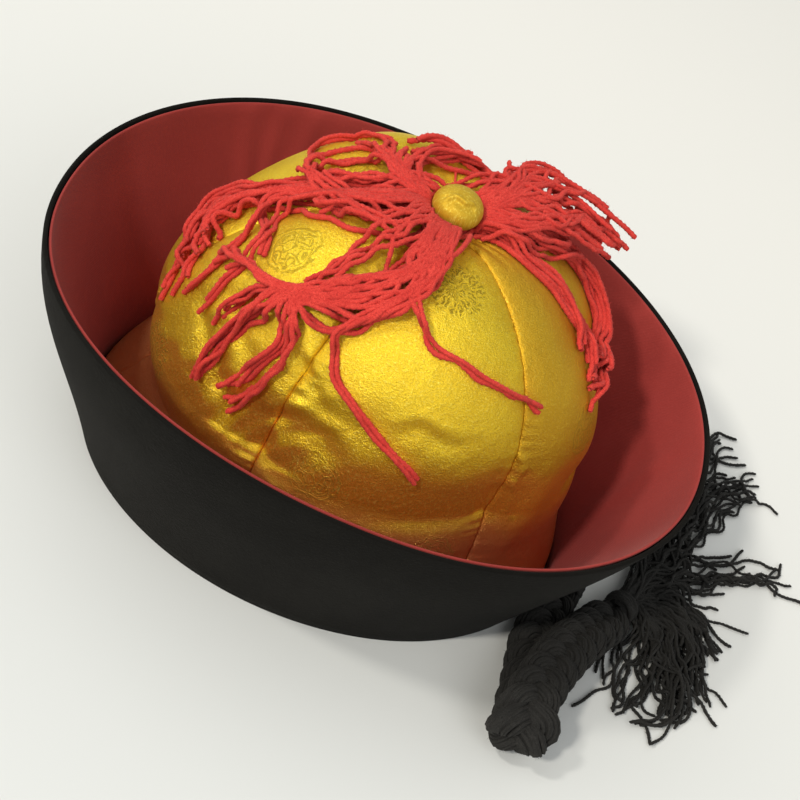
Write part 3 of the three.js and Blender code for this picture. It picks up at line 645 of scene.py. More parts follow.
def satin(name, patterned, painted_shade=0.0):
    """The crown's brocade satin, or the button's plainer one; its last argument paints shade into a copy."""
    n = Nodes(name)
    cloth, place = n.cloth(), n.place()
    floats = n.noise(n.vector("MULTIPLY", cloth, (1.0, 0.3, 1.0)), 5200.0, 1.0, 0.5)
    grain = n.noise(cloth, 2600.0, 2.0, 0.7)
    glint_flecks = n.noise(cloth, 1150.0, 2.0, 0.7)
    soft = n.noise(place, 38.0, 3.0, 0.55)
    rough = n.steps(grain, 0.3, 0.7, 0.3, 0.46)
    color = n.mix(n.steps(soft, 0.3, 0.7), (0.91, 0.61, 0.028), (1.0, 0.72, 0.036))
    # Satin on gores turned from the light gets painted shade: darker and redder, with fewer painted glints
    # below
    if painted_shade:
        color = n.mix(painted_shade, color, (0.42, 0.12, 0.01))
    if patterned:
        high = n.split(place)[2] + n.noise(place, 30.0, 2.0) * 0.02
        # Deep in the brim the cloth gets a painted reflection of the red lining, less where it faces up
        facing = n.split(n.node("ShaderNodeNewGeometry", "Normal"))[2]
        low = n.steps(high, 0.089, 0.105, 0.9, 0.0) * n.steps(facing, 0.14, 0.3, 1.0, 0.1)
        color = n.mix(low, color, (0.86, 0.33, 0.045))
    else:
        color = n.mix(0.7, color, (0.44, 0.24, 0.016))
        rough = rough + 0.14
    color = n.mix(n.steps(grain, 0.36, 0.62, 0.55, 0.0), color, (0.50, 0.28, 0.012))
    # Bright flecks of painted glint on the satin's floats, fewer where shade is painted
    color = n.mix(n.steps(glint_flecks, 0.5, 0.7, 0.0, 0.45 * (1 - painted_shade)), color, (1.0, 0.86, 0.16))
    normal = n.bump(n.noise(place, 150.0, 3.0, 0.6), 0.0011, 0.55 if patterned else 0.2)
    normal = n.bump(floats * 0.5 + (grain + glint_flecks), 0.0003, 0.9 if patterned else 0.6, normal)
    if patterned:
        # At the crown's foot the cloth is painted darker and redder: painted shade from the brim and a
        # painted reflection of the red lining
        color = n.mix(n.steps(high, 0.05, 0.074, 0.95, 0.0), color, (0.66, 0.25, 0.10))
        woven, inside = medallion(n)
        olive = n.mix(n.steps(floats, 0.3, 0.7), (0.36, 0.235, 0.014), (0.22, 0.145, 0.010))
        color = n.mix(woven * 0.8, color, olive)
        rough = rough + woven * 0.1
        normal = n.bump(woven + inside * 0.2, 0.0003, 0.7, normal)
    n.set(Base_Color=color, Roughness=rough, Normal=normal, Metallic=0.75 if patterned else 0.4)
    n.set(Anisotropic=0.3, Specular_IOR_Level=0.5, Specular_Tint=(1.0, 0.9, 0.5), Sheen_Weight=0.04)
    return n.set(Sheen_Tint=(1.0, 0.85, 0.3), Sheen_Roughness=0.4)


def yarn(name, dark, light, sheen, tint):
    n = Nodes(name)
    where = n.place()
    fibres = n.noise(where, 2400.0, 3.0, 0.7)
    patches = n.noise(where, 160.0, 2.0, 0.5)
    color = n.mix(n.steps(fibres, 0.3, 0.7), dark, light)
    color = n.mix(n.steps(patches, 0.35, 0.7, 0.0, 0.35), color, dark)
    normal = n.bump(fibres, 0.0003, 0.8)
    n.set(Base_Color=color, Roughness=0.9, Normal=normal, Sheen_Weight=sheen, Sheen_Roughness=0.5)
    return n.set(Sheen_Tint=tint, Specular_IOR_Level=0.15)


# The queue

# Chosen along the folded plait's middle, from the root to the binding
QUEUE_ROUTE = [
    (22, 110.9, 6.8),
    (30, 108.9, 6.7),
    (38, 106.0, 6.7),
    (47, 102.6, 6.7),
    (58, 101.6, 6.7),
    (70, 101.6, 6.7),
    (82, 101.3, 6.7),
    (92, 101.2, 7.0),
    (99, 100.8, 7.8),
    (104.4, 100.4, 10.2),
    (106.4, 100.0, 14.6),
    (104.4, 99.8, 19.0),
    (99, 99.8, 21.3),
    (91.5, 101.0, 21.8),
    (83, 103.4, 21.4),
    (74, 106.6, 20.4),
    (65, 110.2, 19.2),
    (56.5, 114.2, 17.6),
    (48, 118.9, 15.0),
    (40, 123.2, 12.0),
    (33, 127.1, 8.8),
    (27, 130.4, 7.4),
    (22, 133.1, 7.3),
]
PLAIT = {"half_wide": 11.0, "half_thick": 6.3, "strand_wide": 4.5, "strand_thick": 3.5, "repeat": 28.0}
PLAIT_YARNS = {"count": 16, "radius": 0.82, "twist": 90.0, "uneven": 0.12, "wave": 7}
PLAIT_PLIES = {"sides": 6, "pitch": 5.0, "lobes": 0.16}
PLAIT_FIBRES = {"every": 1.5, "length": 1.4, "thick": 0.07}
PLAIT_CORE = {"step": 1.6, "sides": 12}
PLAIT_KNOB = {"from": 84.0, "to": 104.0, "wider": 0.32}  # where it folds back, the plait bulges
# Shares of the plait's width, thickness and yarns at its ends, and how far they reach
PLAIT_ROOT = {"wide": 0.57, "reach": 34.0, "thick": 0.85, "thick_reach": 12, "strand": 0.62, "yarn": 0.7}
PLAIT_END = {"wide": 0.62, "thick": 0.9, "reach": 9}
TIE = {"radius": 7.4, "width": 7.0, "gap": 0.42, "turns": 4, "cord": 1.15, "core": 5.4}
ROOT = {"radius": 6.3, "width": 11.0, "gap": 0.3, "turns": 6.5, "cord": 0.95, "core": 4.8}
BINDING = {"core_rings": 9, "core_sides": 20, "rings": 26, "eased": 0.15, "uneven": 0.12, "wave": 1.7}
BINDING_PLIES = {"sides": 8, "pitch": 4.0, "lobes": 0.1}
FRINGE_FLOOR = 0.4
UP = np.array([0, 0, 1.0])


def plait(material):
    """Three strands of yarn over and under each other, folded back on the surface."""
    line = smooth_path(QUEUE_ROUTE, 1.0)
    run = running(line)
    share = run / run[-1]
    along = tangents(line)
    side = unit(np.array([0, -1.0, 0]) - along * -along[:, 1:2])
    up = np.cross(side, along)
    to_end = ease((run[-1] - run) / PLAIT_END["reach"])
    narrow = blend(PLAIT_ROOT["wide"], 1, ease(run / PLAIT_ROOT["reach"]))
    narrow = narrow * blend(PLAIT_END["wide"], 1, to_end)
    flat = blend(PLAIT_ROOT["thick"], 1, ease(run / PLAIT_ROOT["thick_reach"]))
    flat = flat * blend(PLAIT_END["thick"], 1, to_end)
    at_fold = (run - PLAIT_KNOB["from"]) / (PLAIT_KNOB["to"] - PLAIT_KNOB["from"])
    bulge = 1 + PLAIT_KNOB["wider"] * np.sin(np.pi * np.clip(at_fold, 0, 1)) ** 2
    full = (narrow - PLAIT_ROOT["wide"]) / (1 - PLAIT_ROOT["wide"])
    yarn_radius = PLAIT_YARNS["radius"]
    thin = yarn_radius * blend(PLAIT_ROOT["yarn"], 1, full)
    tubes, loose = [], []
    for k in range(3):
        phase = 2 * np.pi * (run / PLAIT["repeat"] + k / 3)
        out = (PLAIT["half_wide"] - PLAIT["strand_wide"]) * np.sin(phase) * narrow * bulge
        high = (PLAIT["half_thick"] - PLAIT["strand_thick"]) * np.sin(2 * phase) * flat
        middle = line + side * out[:, None] + up * high[:, None]
        strand_along = tangents(middle)
        strand_side = unit(np.cross(strand_along, up))
        strand_up = np.cross(strand_side, strand_along)
        wide = PLAIT["strand_wide"] * blend(PLAIT_ROOT["strand"], 1, full) * bulge - yarn_radius
        thick = PLAIT["strand_thick"] * flat - yarn_radius
        core = spaced(middle, PLAIT_CORE["step"])
        at = np.linspace(0, 1, len(core))
        core_wide, core_thick, *ups = [np.interp(at, share, part) for part in (wide, thick, *strand_up.T)]
        tubes.append(tube(core, unit(np.stack(ups, -1)), core_thick, PLAIT_CORE["sides"], wide=core_wide))
        for m in range(PLAIT_YARNS["count"]):
            turn = 2 * np.pi * (m / PLAIT_YARNS["count"] + run / PLAIT_YARNS["twist"])
            turn = turn + PLAIT_YARNS["uneven"] * np.sin(run / PLAIT_YARNS["wave"] + 2 * m)
            lay = middle + strand_side * (wide * np.cos(turn))[:, None]
            lay = lay + strand_up * (thick * np.sin(turn))[:, None]
            loose.append((lay, yarn_radius))
            tubes.append(tube(lay, strand_up, thin, **PLAIT_PLIES, phase=random.uniform(0, 6)))
    piece = tubes_piece("queue_plait", tubes, material)
    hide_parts("queue_braid")
    fibres = fuzz("queue_plait_fibres", loose, material, "black_yarn", **PLAIT_FIBRES)
    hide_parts("queue_braid")
    return piece, fibres, line, run[-1]


def binding(name, start, direction, sizes, material):
    """A cord wound round a plain core along a level axis, from one end to the other."""
    rings = BINDING["core_rings"]
    at = np.linspace(0.04, 0.96, rings)[:, None] * sizes["width"]
    core = tube(start + direction * at, np.tile(UP, (rings, 1)), sizes["core"], BINDING["core_sides"])
    thick, length = sizes["cord"], sizes["width"] - 2 * sizes["cord"]
    count = int(sizes["turns"] * BINDING["rings"])
    turn = 2 * np.pi * sizes["turns"] * np.arange(count) / (count - 1)
    side = np.array([direction[1], -direction[0], 0])
    share = turn / turn[-1]
    along = thick + length * blend(share, ease(share), BINDING["eased"])
    outward = side * np.cos(turn)[:, None] + UP * np.sin(turn)[:, None]
    spread = sizes["radius"] - thick + BINDING["uneven"] * np.sin(turn * BINDING["wave"])
    line = start + direction * along[:, None] + outward * spread[:, None]
    return tubes_piece(name, [core, tube(line, outward, thick, **BINDING_PLIES)], material)


def bound_ends(material, line):
    """The root that is sewn to the brim, and the binding at the plait's end."""
    level = np.array([1.0, 1.0, 0.0])
    away = unit((line[1] - line[0]) * level)
    start = line[0] - away * (ROOT["width"] + ROOT["gap"])
    root = binding("queue_root_binding", start, away, ROOT, material)
    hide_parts("queue_root")
    end = unit((line[-1] - line[-2]) * level)
    start = line[-1] + end * TIE["gap"]
    start[2] = TIE["radius"] + FRINGE_FLOOR
    tie = binding("queue_tie_binding", start, end, TIE, material)
    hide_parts("queue_tie")
    return tie, end


# Yarn that lies on cloth or on the surface

PILE_CELL = 0.5
SAG = 0.1  # how far a yarn drops a step away from what holds it up; it grows as the square
SAG_STEPS = 3
SMOOTHING = np.array([1, 2, 3, 2, 1]) / 9


class Pile:
    """How high yarn already lies over a flat map, in cells of a fraction of a millimetre."""

    def __init__(self, low, high):
        self.low = np.array(low, float)
        self.top = np.zeros(np.ceil((np.array(high) - self.low) / PILE_CELL).astype(int))

    def cells(self, where, radius):
        """The cells near each point of a yarn, and how far it bulges over them."""
        reach = int(radius / PILE_CELL) + 1
        step = np.arange(-reach, reach + 1)
        at = np.round((where - self.low) / PILE_CELL).astype(int)
        i = np.clip(at[:, 0, None, None] + step[:, None], 0, self.top.shape[0] - 1)
        j = np.clip(at[:, 1, None, None] + step[None], 0, self.top.shape[1] - 1)
        x = self.low[0] + i * PILE_CELL - where[:, 0, None, None]
        y = self.low[1] + j * PILE_CELL - where[:, 1, None, None]
        bulge = radius * radius - x * x - y * y
        return *np.broadcast_arrays(i, j), np.sqrt(np.maximum(bulge, 0)), bulge > 0

    def rest(self, where, radius, press, highest):
        """How high a yarn's middle lies over what is already there."""
        i, j, bulge, inside = self.cells(where, radius)
        need = np.where(inside, self.top[i, j] + bulge, 0).max((1, 2))
        need = np.maximum(radius, need - press * radius * (self.top[i, j].max((1, 2)) > 0))
        held = need.copy()
        for k in range(1, SAG_STEPS + 1):
            held[k:] = np.maximum(held[k:], need[:-k] - SAG * k * k)
            held[:-k] = np.maximum(held[:-k], need[k:] - SAG * k * k)
        return np.minimum(np.convolve(np.pad(held, 2, mode="edge"), SMOOTHING, mode="valid"), highest)

    def add(self, where, middle, radius):
        i, j, bulge, inside = self.cells(where, radius)
        np.maximum.at(self.top, (i, j), np.where(inside, middle[:, None, None] + bulge, 0))


WAVES = (0.5, 0.95, 1.4)  # the lengths of a wander's waves, as shares of the stated one


def wander(count, step, size, length):
    """A smooth random sideways wander along a yarn."""
    at = np.arange(count) * step
    made = np.zeros(count)
    for share in WAVES:
        wave = length * share * random.uniform(0.8, 1.25)
        made += np.sin(2 * np.pi * at / wave + random.uniform(0, 6.3)) * random.normal(0, 0.6)
    return made * size


def swaying(count, kind, size):
    """A long wander of a stated size and a fine one over it."""
    sway = wander(count, kind["step"], size, kind["sway_length"])
    return sway + wander(count, kind["step"], kind["fine_sway"], kind["fine_length"])


def width_along(widths, t):
    return np.interp(t, np.linspace(0, 1, len(widths)), widths)


def bent_tip(line, side, kind):
    """A yarn whose last stretch bends to one side."""
    past = np.maximum((np.arange(len(line)) - len(line)) * kind["step"] + kind["tip"], 0)
    return line + side * (past**2 * random.uniform(-kind["bend"], kind["bend"]))[:, None]


# Red yarn: the route's stops as heading and up, how many yarns, the bundle's width along its
# route, how far its end stands off the crown, and how much the yarns' lengths differ.
RED_BUNDLES = [
    # Down the front, to the left of the picture
    ([(246, 0.96), (254, 0.93), (264, 0.86), (267, 0.8), (268, 0.77), (266, 0.72), (266, 0.68),
      (262, 0.62), (261, 0.575), (267, 0.56), (277, 0.54), (284, 0.515), (292, 0.49), (299, 0.46)], 5,
      (4, 8, 8, 5, 2.5, 3, 5, 6, 6, 5), 0, 0.22),
    ([(250, 0.96), (280, 0.925), (288, 0.865), (281, 0.81), (276, 0.77), (272, 0.72), (270, 0.67),
      (268, 0.62), (271, 0.59), (280, 0.575), (288, 0.55), (293, 0.51), (296, 0.485)], 5, (4, 8, 8, 5,
      2.5, 3, 5, 6, 6, 5), 0, 0.28),
    ([(291, 0.965), (311, 0.93), (303, 0.865), (289, 0.81), (279, 0.77), (275, 0.71), (274, 0.655),
      (276, 0.62), (284, 0.595), (291, 0.565), (294, 0.53)], 5, (4, 8, 7, 5, 2.5, 4, 6, 5), 0, 0.28),
    ([(248, 0.96), (266, 0.91), (273, 0.86), (271, 0.81), (268, 0.77)], 6, (5, 11, 9, 2.5), 0, 0.1),
    ([(270, 0.965), (298, 0.913), (296, 0.86), (282, 0.81), (266, 0.78), (252, 0.76)], 4, (5, 9, 8, 4,
      3), 0, 0.25),
    ([(312, 0.965), (330, 0.935), (322, 0.897), (309, 0.857), (297, 0.825), (285, 0.79)], 5, (4, 6, 6,
      4), 0, 0.3),
    ([(250, 0.96), (288, 0.89), (283, 0.79), (276, 0.725), (281, 0.7), (300, 0.7), (308, 0.675),
      (312, 0.645)], 2, (4, 4, 2, 2, 2), 0, 0.08),
    ([(265, 0.965), (296, 0.89), (284, 0.79), (279, 0.72), (289, 0.69), (296, 0.635), (299, 0.57),
      (297, 0.495)], 2, (4, 4, 2, 3, 4), 0, 0.1),
    ([(278, 0.965), (299, 0.89), (285, 0.79), (285, 0.74), (303, 0.69), (307, 0.6), (308, 0.51)], 2, (4,
      4, 2, 4, 5), 0, 0.12),
    ([(335, 0.965), (329, 0.907), (326, 0.855), (328, 0.785), (327, 0.71), (326, 0.68)], 2, (3, 3, 3,
      2), 0, 0.08),
    ([(345, 0.965), (338, 0.907), (334, 0.86), (332, 0.785), (330, 0.72)], 2, (3, 3, 3), 0, 0.1),
    # Over the far side and round to the front
    ([(252, 0.955), (240, 0.905), (220, 0.845), (216, 0.79), (220, 0.735), (232, 0.715), (246, 0.735),
      (260, 0.765)], 2, (2, 2.5, 3, 2), 0, 0.06),
    ([(252, 0.96), (243, 0.91), (230, 0.852), (231, 0.80), (240, 0.765), (249, 0.755), (262, 0.77)], 1,
      (2, 2), 0, 0.04),
    ([(256, 0.962), (251, 0.92), (239, 0.873), (244, 0.82), (251, 0.78), (258, 0.768), (266, 0.775)], 2,
      (3, 4, 3, 2), 0, 0.08),
    ([(256, 0.965), (252, 0.933), (240, 0.9), (232, 0.855), (227, 0.81), (226, 0.765)], 2, (3, 4, 4), 0,
      0.1),
    ([(144, 0.93), (151, 0.892), (168, 0.868), (187, 0.86), (199, 0.862), (211, 0.868), (219, 0.86)], 4,
      (2, 2.5, 4, 4), 0.3, 0.2),
    ([(256, 0.95), (250, 0.925), (229, 0.908), (207, 0.9), (190, 0.898), (179, 0.888), (170, 0.878)], 6,
      (3, 3, 4.5, 4.5, 4), 0.3, 0.12),
    ([(256, 0.958), (254, 0.93), (240, 0.897), (222, 0.865), (212, 0.85)], 4, (3, 4, 6), 0, 0.2),
    # Down the near side and round to the left
    ([(357, 0.96), (357, 0.913), (355, 0.867), (351, 0.82), (344, 0.778), (337, 0.735), (331, 0.693),
      (326, 0.67), (319, 0.662), (313, 0.657), (306, 0.645), (300, 0.623), (299, 0.597)], 6, (5, 7, 7,
      5, 3.5, 3, 3, 3), 0.3, 0.15),
    ([(346, 0.96), (350, 0.92), (349, 0.86), (345, 0.802), (337, 0.758), (332, 0.715), (327, 0.682),
      (323, 0.665), (318, 0.635), (316, 0.593), (315, 0.552), (314, 0.51)], 5, (5, 7, 7, 5, 3.5, 3, 3,
      3), 0, 0.15),
    ([(355, 0.96), (356, 0.895), (355, 0.843), (352, 0.792), (345, 0.752), (339, 0.718), (333, 0.69),
      (327, 0.67), (325, 0.633), (322, 0.58), (320, 0.52), (319, 0.465), (319, 0.42)], 4, (5, 7, 7, 5,
      3, 2.5, 2.5, 3), 0, 0.12),
    ([(360, 0.96), (360, 0.893), (358, 0.827), (354, 0.775), (349, 0.728), (345, 0.677), (341, 0.65),
      (336, 0.65), (330, 0.66), (325, 0.662)], 3, (4, 6, 6, 3, 2.5), 0, 0.1),
    ([(358, 0.96), (357, 0.877), (355, 0.805), (350, 0.748), (346, 0.705), (339, 0.695), (333, 0.68),
      (329, 0.662), (330, 0.633), (333, 0.59), (332, 0.535), (329, 0.477), (326, 0.427)], 3, (4, 5, 5,
      3, 3, 2.5, 3), 0, 0.1),
    ([(352, 0.96), (354, 0.89), (352, 0.82), (346, 0.755), (339, 0.71), (333, 0.685), (330, 0.66),
      (334, 0.617), (336, 0.578), (336, 0.517), (333, 0.463), (330, 0.43), (327, 0.407)], 3, (4, 6, 5,
      3, 2.5, 2.5, 2.5), 0, 0.06),
    ([(349, 0.96), (352, 0.89), (349, 0.82), (343, 0.76), (336, 0.715), (330, 0.688), (325, 0.665),
      (323, 0.607), (321, 0.55), (320, 0.495), (318, 0.445)], 3, (4, 6, 5, 3, 2.5, 2.5, 3), 0, 0.12),
    ([(3, 0.96), (0, 0.903), (357, 0.84), (356, 0.8), (360, 0.76), (367, 0.718), (375, 0.698),
      (383, 0.677), (394, 0.655), (406, 0.62)], 2, (3, 3, 1.7, 1.7), 0, 0.02),
    ([(360, 0.96), (358, 0.883), (355, 0.802), (349, 0.738), (345, 0.685), (343, 0.655), (345, 0.623),
      (349, 0.575), (356, 0.54), (365, 0.497), (376, 0.453)], 2, (3, 3, 1.8, 1.7, 1.7), 0, 0.02),
    # Out beyond the back of the crown, to the right of the picture
    ([(148, 0.94), (154, 0.88), (162, 0.82), (164, 0.79)], 2, (3, 3, 3), 7, 0.2),
    ([(146, 0.94), (154, 0.86), (155, 0.81), (151, 0.785), (146, 0.765)], 3, (2, 5, 4), 13, 0.15),
    ([(144, 0.945), (151, 0.86), (152, 0.79), (147, 0.755), (142, 0.74)], 4, (3, 5, 4), 17, 0.2),
    ([(144, 0.95), (148, 0.86), (146, 0.78), (138, 0.73), (131, 0.695), (127, 0.685)], 8, (5, 8, 7), 20,
      0.25),
    ([(147, 0.955), (143, 0.88), (139, 0.79), (134, 0.72), (129, 0.69), (124, 0.675)], 7, (5, 8, 7), 18,
      0.25),
    ([(134, 0.958), (131, 0.893), (131, 0.81), (130, 0.73), (127, 0.69), (122, 0.67)], 6, (5, 8, 6), 14,
      0.2),
    ([(123, 0.958), (119, 0.903), (123, 0.84), (126, 0.76), (128, 0.7)], 5, (5, 8, 7), 8, 0.2),
    # Down the right
    ([(113, 0.955), (111, 0.905), (118, 0.833), (126, 0.74), (123, 0.67), (116, 0.635), (109, 0.61),
      (97, 0.61), (85, 0.63)], 4, (5, 7, 6, 4), 0.3, 0.15),
    ([(101, 0.95), (97, 0.915), (94, 0.863), (93, 0.805), (91, 0.752), (92, 0.708), (88, 0.675),
      (79, 0.65), (73, 0.627)], 5, (4, 7, 8, 6, 4), 0, 0.15),
    ([(95, 0.95), (88, 0.92), (83, 0.873), (84, 0.812), (83, 0.765), (78, 0.72), (73, 0.685)], 3, (3, 3,
      2.5), 0, 0.1),
    ([(113, 0.955), (111, 0.89), (117, 0.8), (122, 0.7), (117, 0.645), (108, 0.61), (90, 0.62),
      (75, 0.61), (70, 0.585)], 3, (3, 4, 4, 3), 0, 0.08),
    ([(118, 0.955), (113, 0.9), (119, 0.82), (125, 0.72), (120, 0.655), (110, 0.625), (97, 0.63),
      (86, 0.66)], 3, (3, 5, 4, 3), 0, 0.12),
]
RED_YARN = {
    "radius": 0.96,
    "spread": (0.9, 1.12),
    "step": 0.75,
    "sway_length": 24,
    "fine_sway": 0.09,
    "fine_length": 8,
    "from_root": 0.25,  # the share of its length over which it comes to sway
    "bent_tips": 0.6,
    "tip": 9,
    "bend": 0.06,
    "press": 0.35,  # how far it sinks between the yarns below, in radii
    "highest": 6.5,
}
RED_PLIES = {"sides": 7, "pitch": 4.6, "lobes": 0.19, "flare": 0.08}
RED_FIBRES = {"every": 0.56, "length": 1.5, "thick": 0.075}
OFF_CLOTH = 0.15
# How far yarns stray in their bundle. They are held together where their lengths hardly differ.
RED_DRIFT = {"held": 0.05, "few": 0.12, "many": 0.3}
HELD_BELOW = 0.03
RED_SWAY = {"by_drift": 8, "most_drift": 0.07, "by_lift": 0.45, "full_lift": 10}
RED_LIFT = {"least": 0.65, "most": 1.15, "curve": 1.5}
ROUTE_START = 5.0  # distance from the apex where a yarn comes out of its head
UNDER_BUTTON = {"radius": 9.5, "fade": 6, "free": 200, "sunk": 0.7}  # the yarns stay low there
# The head's turns of yarn, as distance from the middle and height, and a stitch behind it
HEAD_TURNS = [(7.6, 136.3), (8.2, 137.2), (6.2, 136.9)]
HEAD_PLIES = {"radius": 1.0, "sides": 8, "pitch": 4.0, "lobes": 0.15}
STITCH = {"heading": 187.0, "from": 0.905, "to": 0.955, "out": 0.55, "stops": 9}
STITCH_PLIES = {"radius": 0.5, "sides": 8, "pitch": 3.0, "lobes": 0.1}


def on_map(heading, up):
    """A place on the crown as a flat map: its distance from the apex, at its own heading."""
    out = (1 - np.asarray(up)) * CLOTH_LENGTH
    turn = np.radians(heading)
    return np.stack([out * np.cos(turn), out * np.sin(turn)], -1)


def off_map(where):
    x, y = where.T
    return np.degrees(np.arctan2(y, x)), 1 - np.hypot(x, y) / CLOTH_LENGTH


def off_map_at(points, heading, up):
    """Headings and ups again, as many as there are points."""
    at = np.linspace(0, 1, len(heading))
    to = np.linspace(0, 1, len(points))
    unwound = np.degrees(np.unwrap(np.radians(heading)))
    return np.interp(to, at, unwound), np.clip(np.interp(to, at, up), 0, 0.99)


def red_yarn_lines():
    """Each yarn's place on the crown's map, how far it is raised along its length, and its lift."""
    lines = []
    for stops, count, widths, lift, uneven in RED_BUNDLES:
        root = (stops[0][0], 1 - ROUTE_START / CLOTH_LENGTH)
        h, u = np.array([root] + stops, float).T
        guide = smooth_path(on_map(h, u), RED_YARN["step"])
        side = left_of(guide)
        t = np.linspace(0, 1, len(guide))
        wide = width_along(widths, t)
        loose = RED_DRIFT["many"] if count > 2 else RED_DRIFT["few"]
        if uneven < HELD_BELOW:
            loose = RED_DRIFT["held"]
        sway_size = RED_SWAY["by_drift"] * min(loose, RED_SWAY["most_drift"])
        sway_size = sway_size + RED_SWAY["by_lift"] * min(1, lift / RED_SWAY["full_lift"])
        for place in random.permutation((np.arange(count) + 0.5) / count - 0.5):
            drift = np.linspace(place + random.normal(0, loose), place + random.normal(0, loose), len(guide))
            drift = drift + loose * np.sin(t * random.uniform(5, 11) + random.uniform(0, 6.3))
            sway = swaying(len(guide), RED_YARN, sway_size)
            line = guide + side * (drift * wide + sway * ease(t / RED_YARN["from_root"]))[:, None]
            keep = int(len(line) * (1 - random.uniform(0, uneven)))
            line = line[:keep]
            if random.random() < RED_YARN["bent_tips"] and count > 2:
                line = bent_tip(line, side[:keep], RED_YARN)
            raised = lift * random.uniform(RED_LIFT["least"], RED_LIFT["most"])
            lines.append((line, raised * t[:keep] ** RED_LIFT["curve"], lift))
    return lines


def red_tassel(material):
    """Yarns laid over the crown, the lowest first, with their bound head and its fibres."""
    pile = Pile((-115, -115), (115, 115))
    tubes, loose = [], []
    for line, raised, _ in sorted(red_yarn_lines(), key=lambda made: made[2]):
        own = RED_YARN["radius"] * random.uniform(*RED_YARN["spread"])
        lying = pile.rest(line, own, RED_YARN["press"], RED_YARN["highest"])
        pile.add(line, lying, own)
        heading, up = off_map(line)
        points = on_crown(heading, up, lying + raised + OFF_CLOTH)
        near = np.hypot(points[:, 0] - CROWN["lean_x"], points[:, 1] - CROWN["lean_y"])
        free = ease((near - UNDER_BUTTON["radius"]) / UNDER_BUTTON["fade"])
        highest = blend(TASSEL_TOP - own * UNDER_BUTTON["sunk"], UNDER_BUTTON["free"], free)
        points[:, 2] = np.minimum(points[:, 2], highest)
        points = spaced(points, RED_YARN["step"])
        loose.append((points, own))
        ups = normal_of(crown_face, *off_map_at(points, heading, up))
        tubes.append(tube(points, ups, own, **RED_PLIES, phase=random.uniform(0, 6.3)))
    for k in range(3):
        piece = tubes_piece("red_tassel_yarns_%d" % (k + 1), tubes[k::3], material)
        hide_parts("red_tassel")
    head = []
    turn = np.linspace(0, 2 * np.pi * 0.985, 60)
    outward = np.stack([np.cos(turn), np.sin(turn), 0 * turn], -1)
    for k, (out, high) in enumerate(HEAD_TURNS):
        head.append(tube(over_apex(high) + outward * out, outward, **HEAD_PLIES, phase=k))
    count = STITCH["stops"]
    ups = np.linspace(STITCH["from"], STITCH["to"], count)
    stitch = on_crown(np.full(count, STITCH["heading"]), ups, STITCH["out"])
    head.append(tube(stitch, np.tile(UP, (count, 1)), **STITCH_PLIES))
    piece = tubes_piece("red_tassel_head", head, material)
    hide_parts("red_tassel")
    piece = fuzz("red_tassel_fibres", loose, material, "red_yarn", **RED_FIBRES)
    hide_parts("red_tassel")


# Black yarn of the fringe: the route's stops on the surface, how many yarns, the bundle's
# width along its route, and how much the yarns' lengths differ.
BLACK_BUNDLES = [
    ([(24, 141), (34, 139), (46, 135), (57, 135)], 3, (6, 5, 4), 0.15),
    ([(22, 143), (34, 142), (48, 141), (60, 139), (66, 142)], 4, (7, 6, 5, 4), 0.1),
    ([(20, 145), (36, 149), (52, 149), (64, 145), (70, 143)], 5, (8, 7, 6, 4), 0.15),
    ([(20, 147), (34, 156), (48, 163), (60, 161), (67, 153), (71, 146)], 5, (8, 8, 6, 4, 3), 0.1),
    ([(18, 147), (32, 156), (44, 167), (54, 169), (60, 162), (64, 154)], 5, (8, 8, 6, 4, 3), 0.15),
    ([(16, 146), (22, 154), (36, 158), (50, 161), (58, 166)], 14, (8, 11, 10), 0.28),
    ([(13, 147), (18, 156), (30, 163), (42, 168), (53, 172)], 16, (8, 12, 11), 0.28),
    ([(10, 148), (12, 158), (22, 167), (34, 172), (44, 176)], 17, (8, 12, 12), 0.28),
    ([(6, 149), (6, 160), (14, 170), (22, 176), (29, 180)], 17, (8, 12, 12), 0.28),
    ([(3, 150), (0, 161), (6, 172), (12, 179), (18, 183)], 14, (8, 12, 11), 0.28),
    ([(2, 148), (-6, 158), (-13, 170), (-18, 180), (-22, 190)], 6, (8, 10, 9), 0.4),
    ([(0, 148), (-10, 160), (-22, 176), (-33, 195), (-44, 217)], 5, (7, 7, 4, 4), 0.08),
    ([(0, 147), (-12, 158), (-26, 172), (-40, 190), (-53, 203)], 4, (6, 7, 5, 5), 0.2),
    ([(-2, 146), (-16, 156), (-32, 165), (-46, 178), (-56, 196)], 6, (7, 10, 9, 8), 0.45),
    ([(-4, 145), (-20, 153), (-40, 162), (-58, 171), (-76, 181), (-96, 208)], 9, (7, 11, 11, 8, 6), 0.4),
    ([(-4, 144), (-22, 151), (-46, 160), (-68, 168), (-88, 178), (-104, 198)], 10, (7, 11, 11, 8, 6), 0.4),
    ([(-4, 143), (-22, 149), (-48, 157), (-74, 165), (-98, 175), (-117, 196)], 10, (7, 11, 11, 9, 7), 0.4),
    ([(-4, 142), (-24, 147), (-50, 154), (-76, 161), (-102, 169), (-128, 176)], 10, (7, 10, 10, 8, 6), 0.3),
]
BLACK_YARN = {
    "radius": 0.66,
    "spread": (0.88, 1.12),
    "step": 0.8,
    "sway": 1.8,
    "sway_length": 36,
    "fine_sway": 0.14,
    "fine_length": 11,
    "from_root": 0.25,
    "settled": 0.5,  # the share of its length over which it comes down
    "bent_tips": 0.5,
    "tip": 16,
    "bend": 0.075,
    "press": 0.2,
    "highest": 12.5,
}
BLACK_PLIES = {"sides": 5, "pitch": 3.8, "lobes": 0.2}
FRINGE_FIBRES = {"every": 1.3, "length": 1.3, "thick": 0.07}
FRINGE_HEAD = {"radius": 7.2, "yarns": 5.6, "inside_tie": 1.0, "ahead": 3, "squashed": 0.9}
FRINGE_HIGHEST = {"settled": 7, "crossing": 11.5}
OFF_FLOOR = 0.05


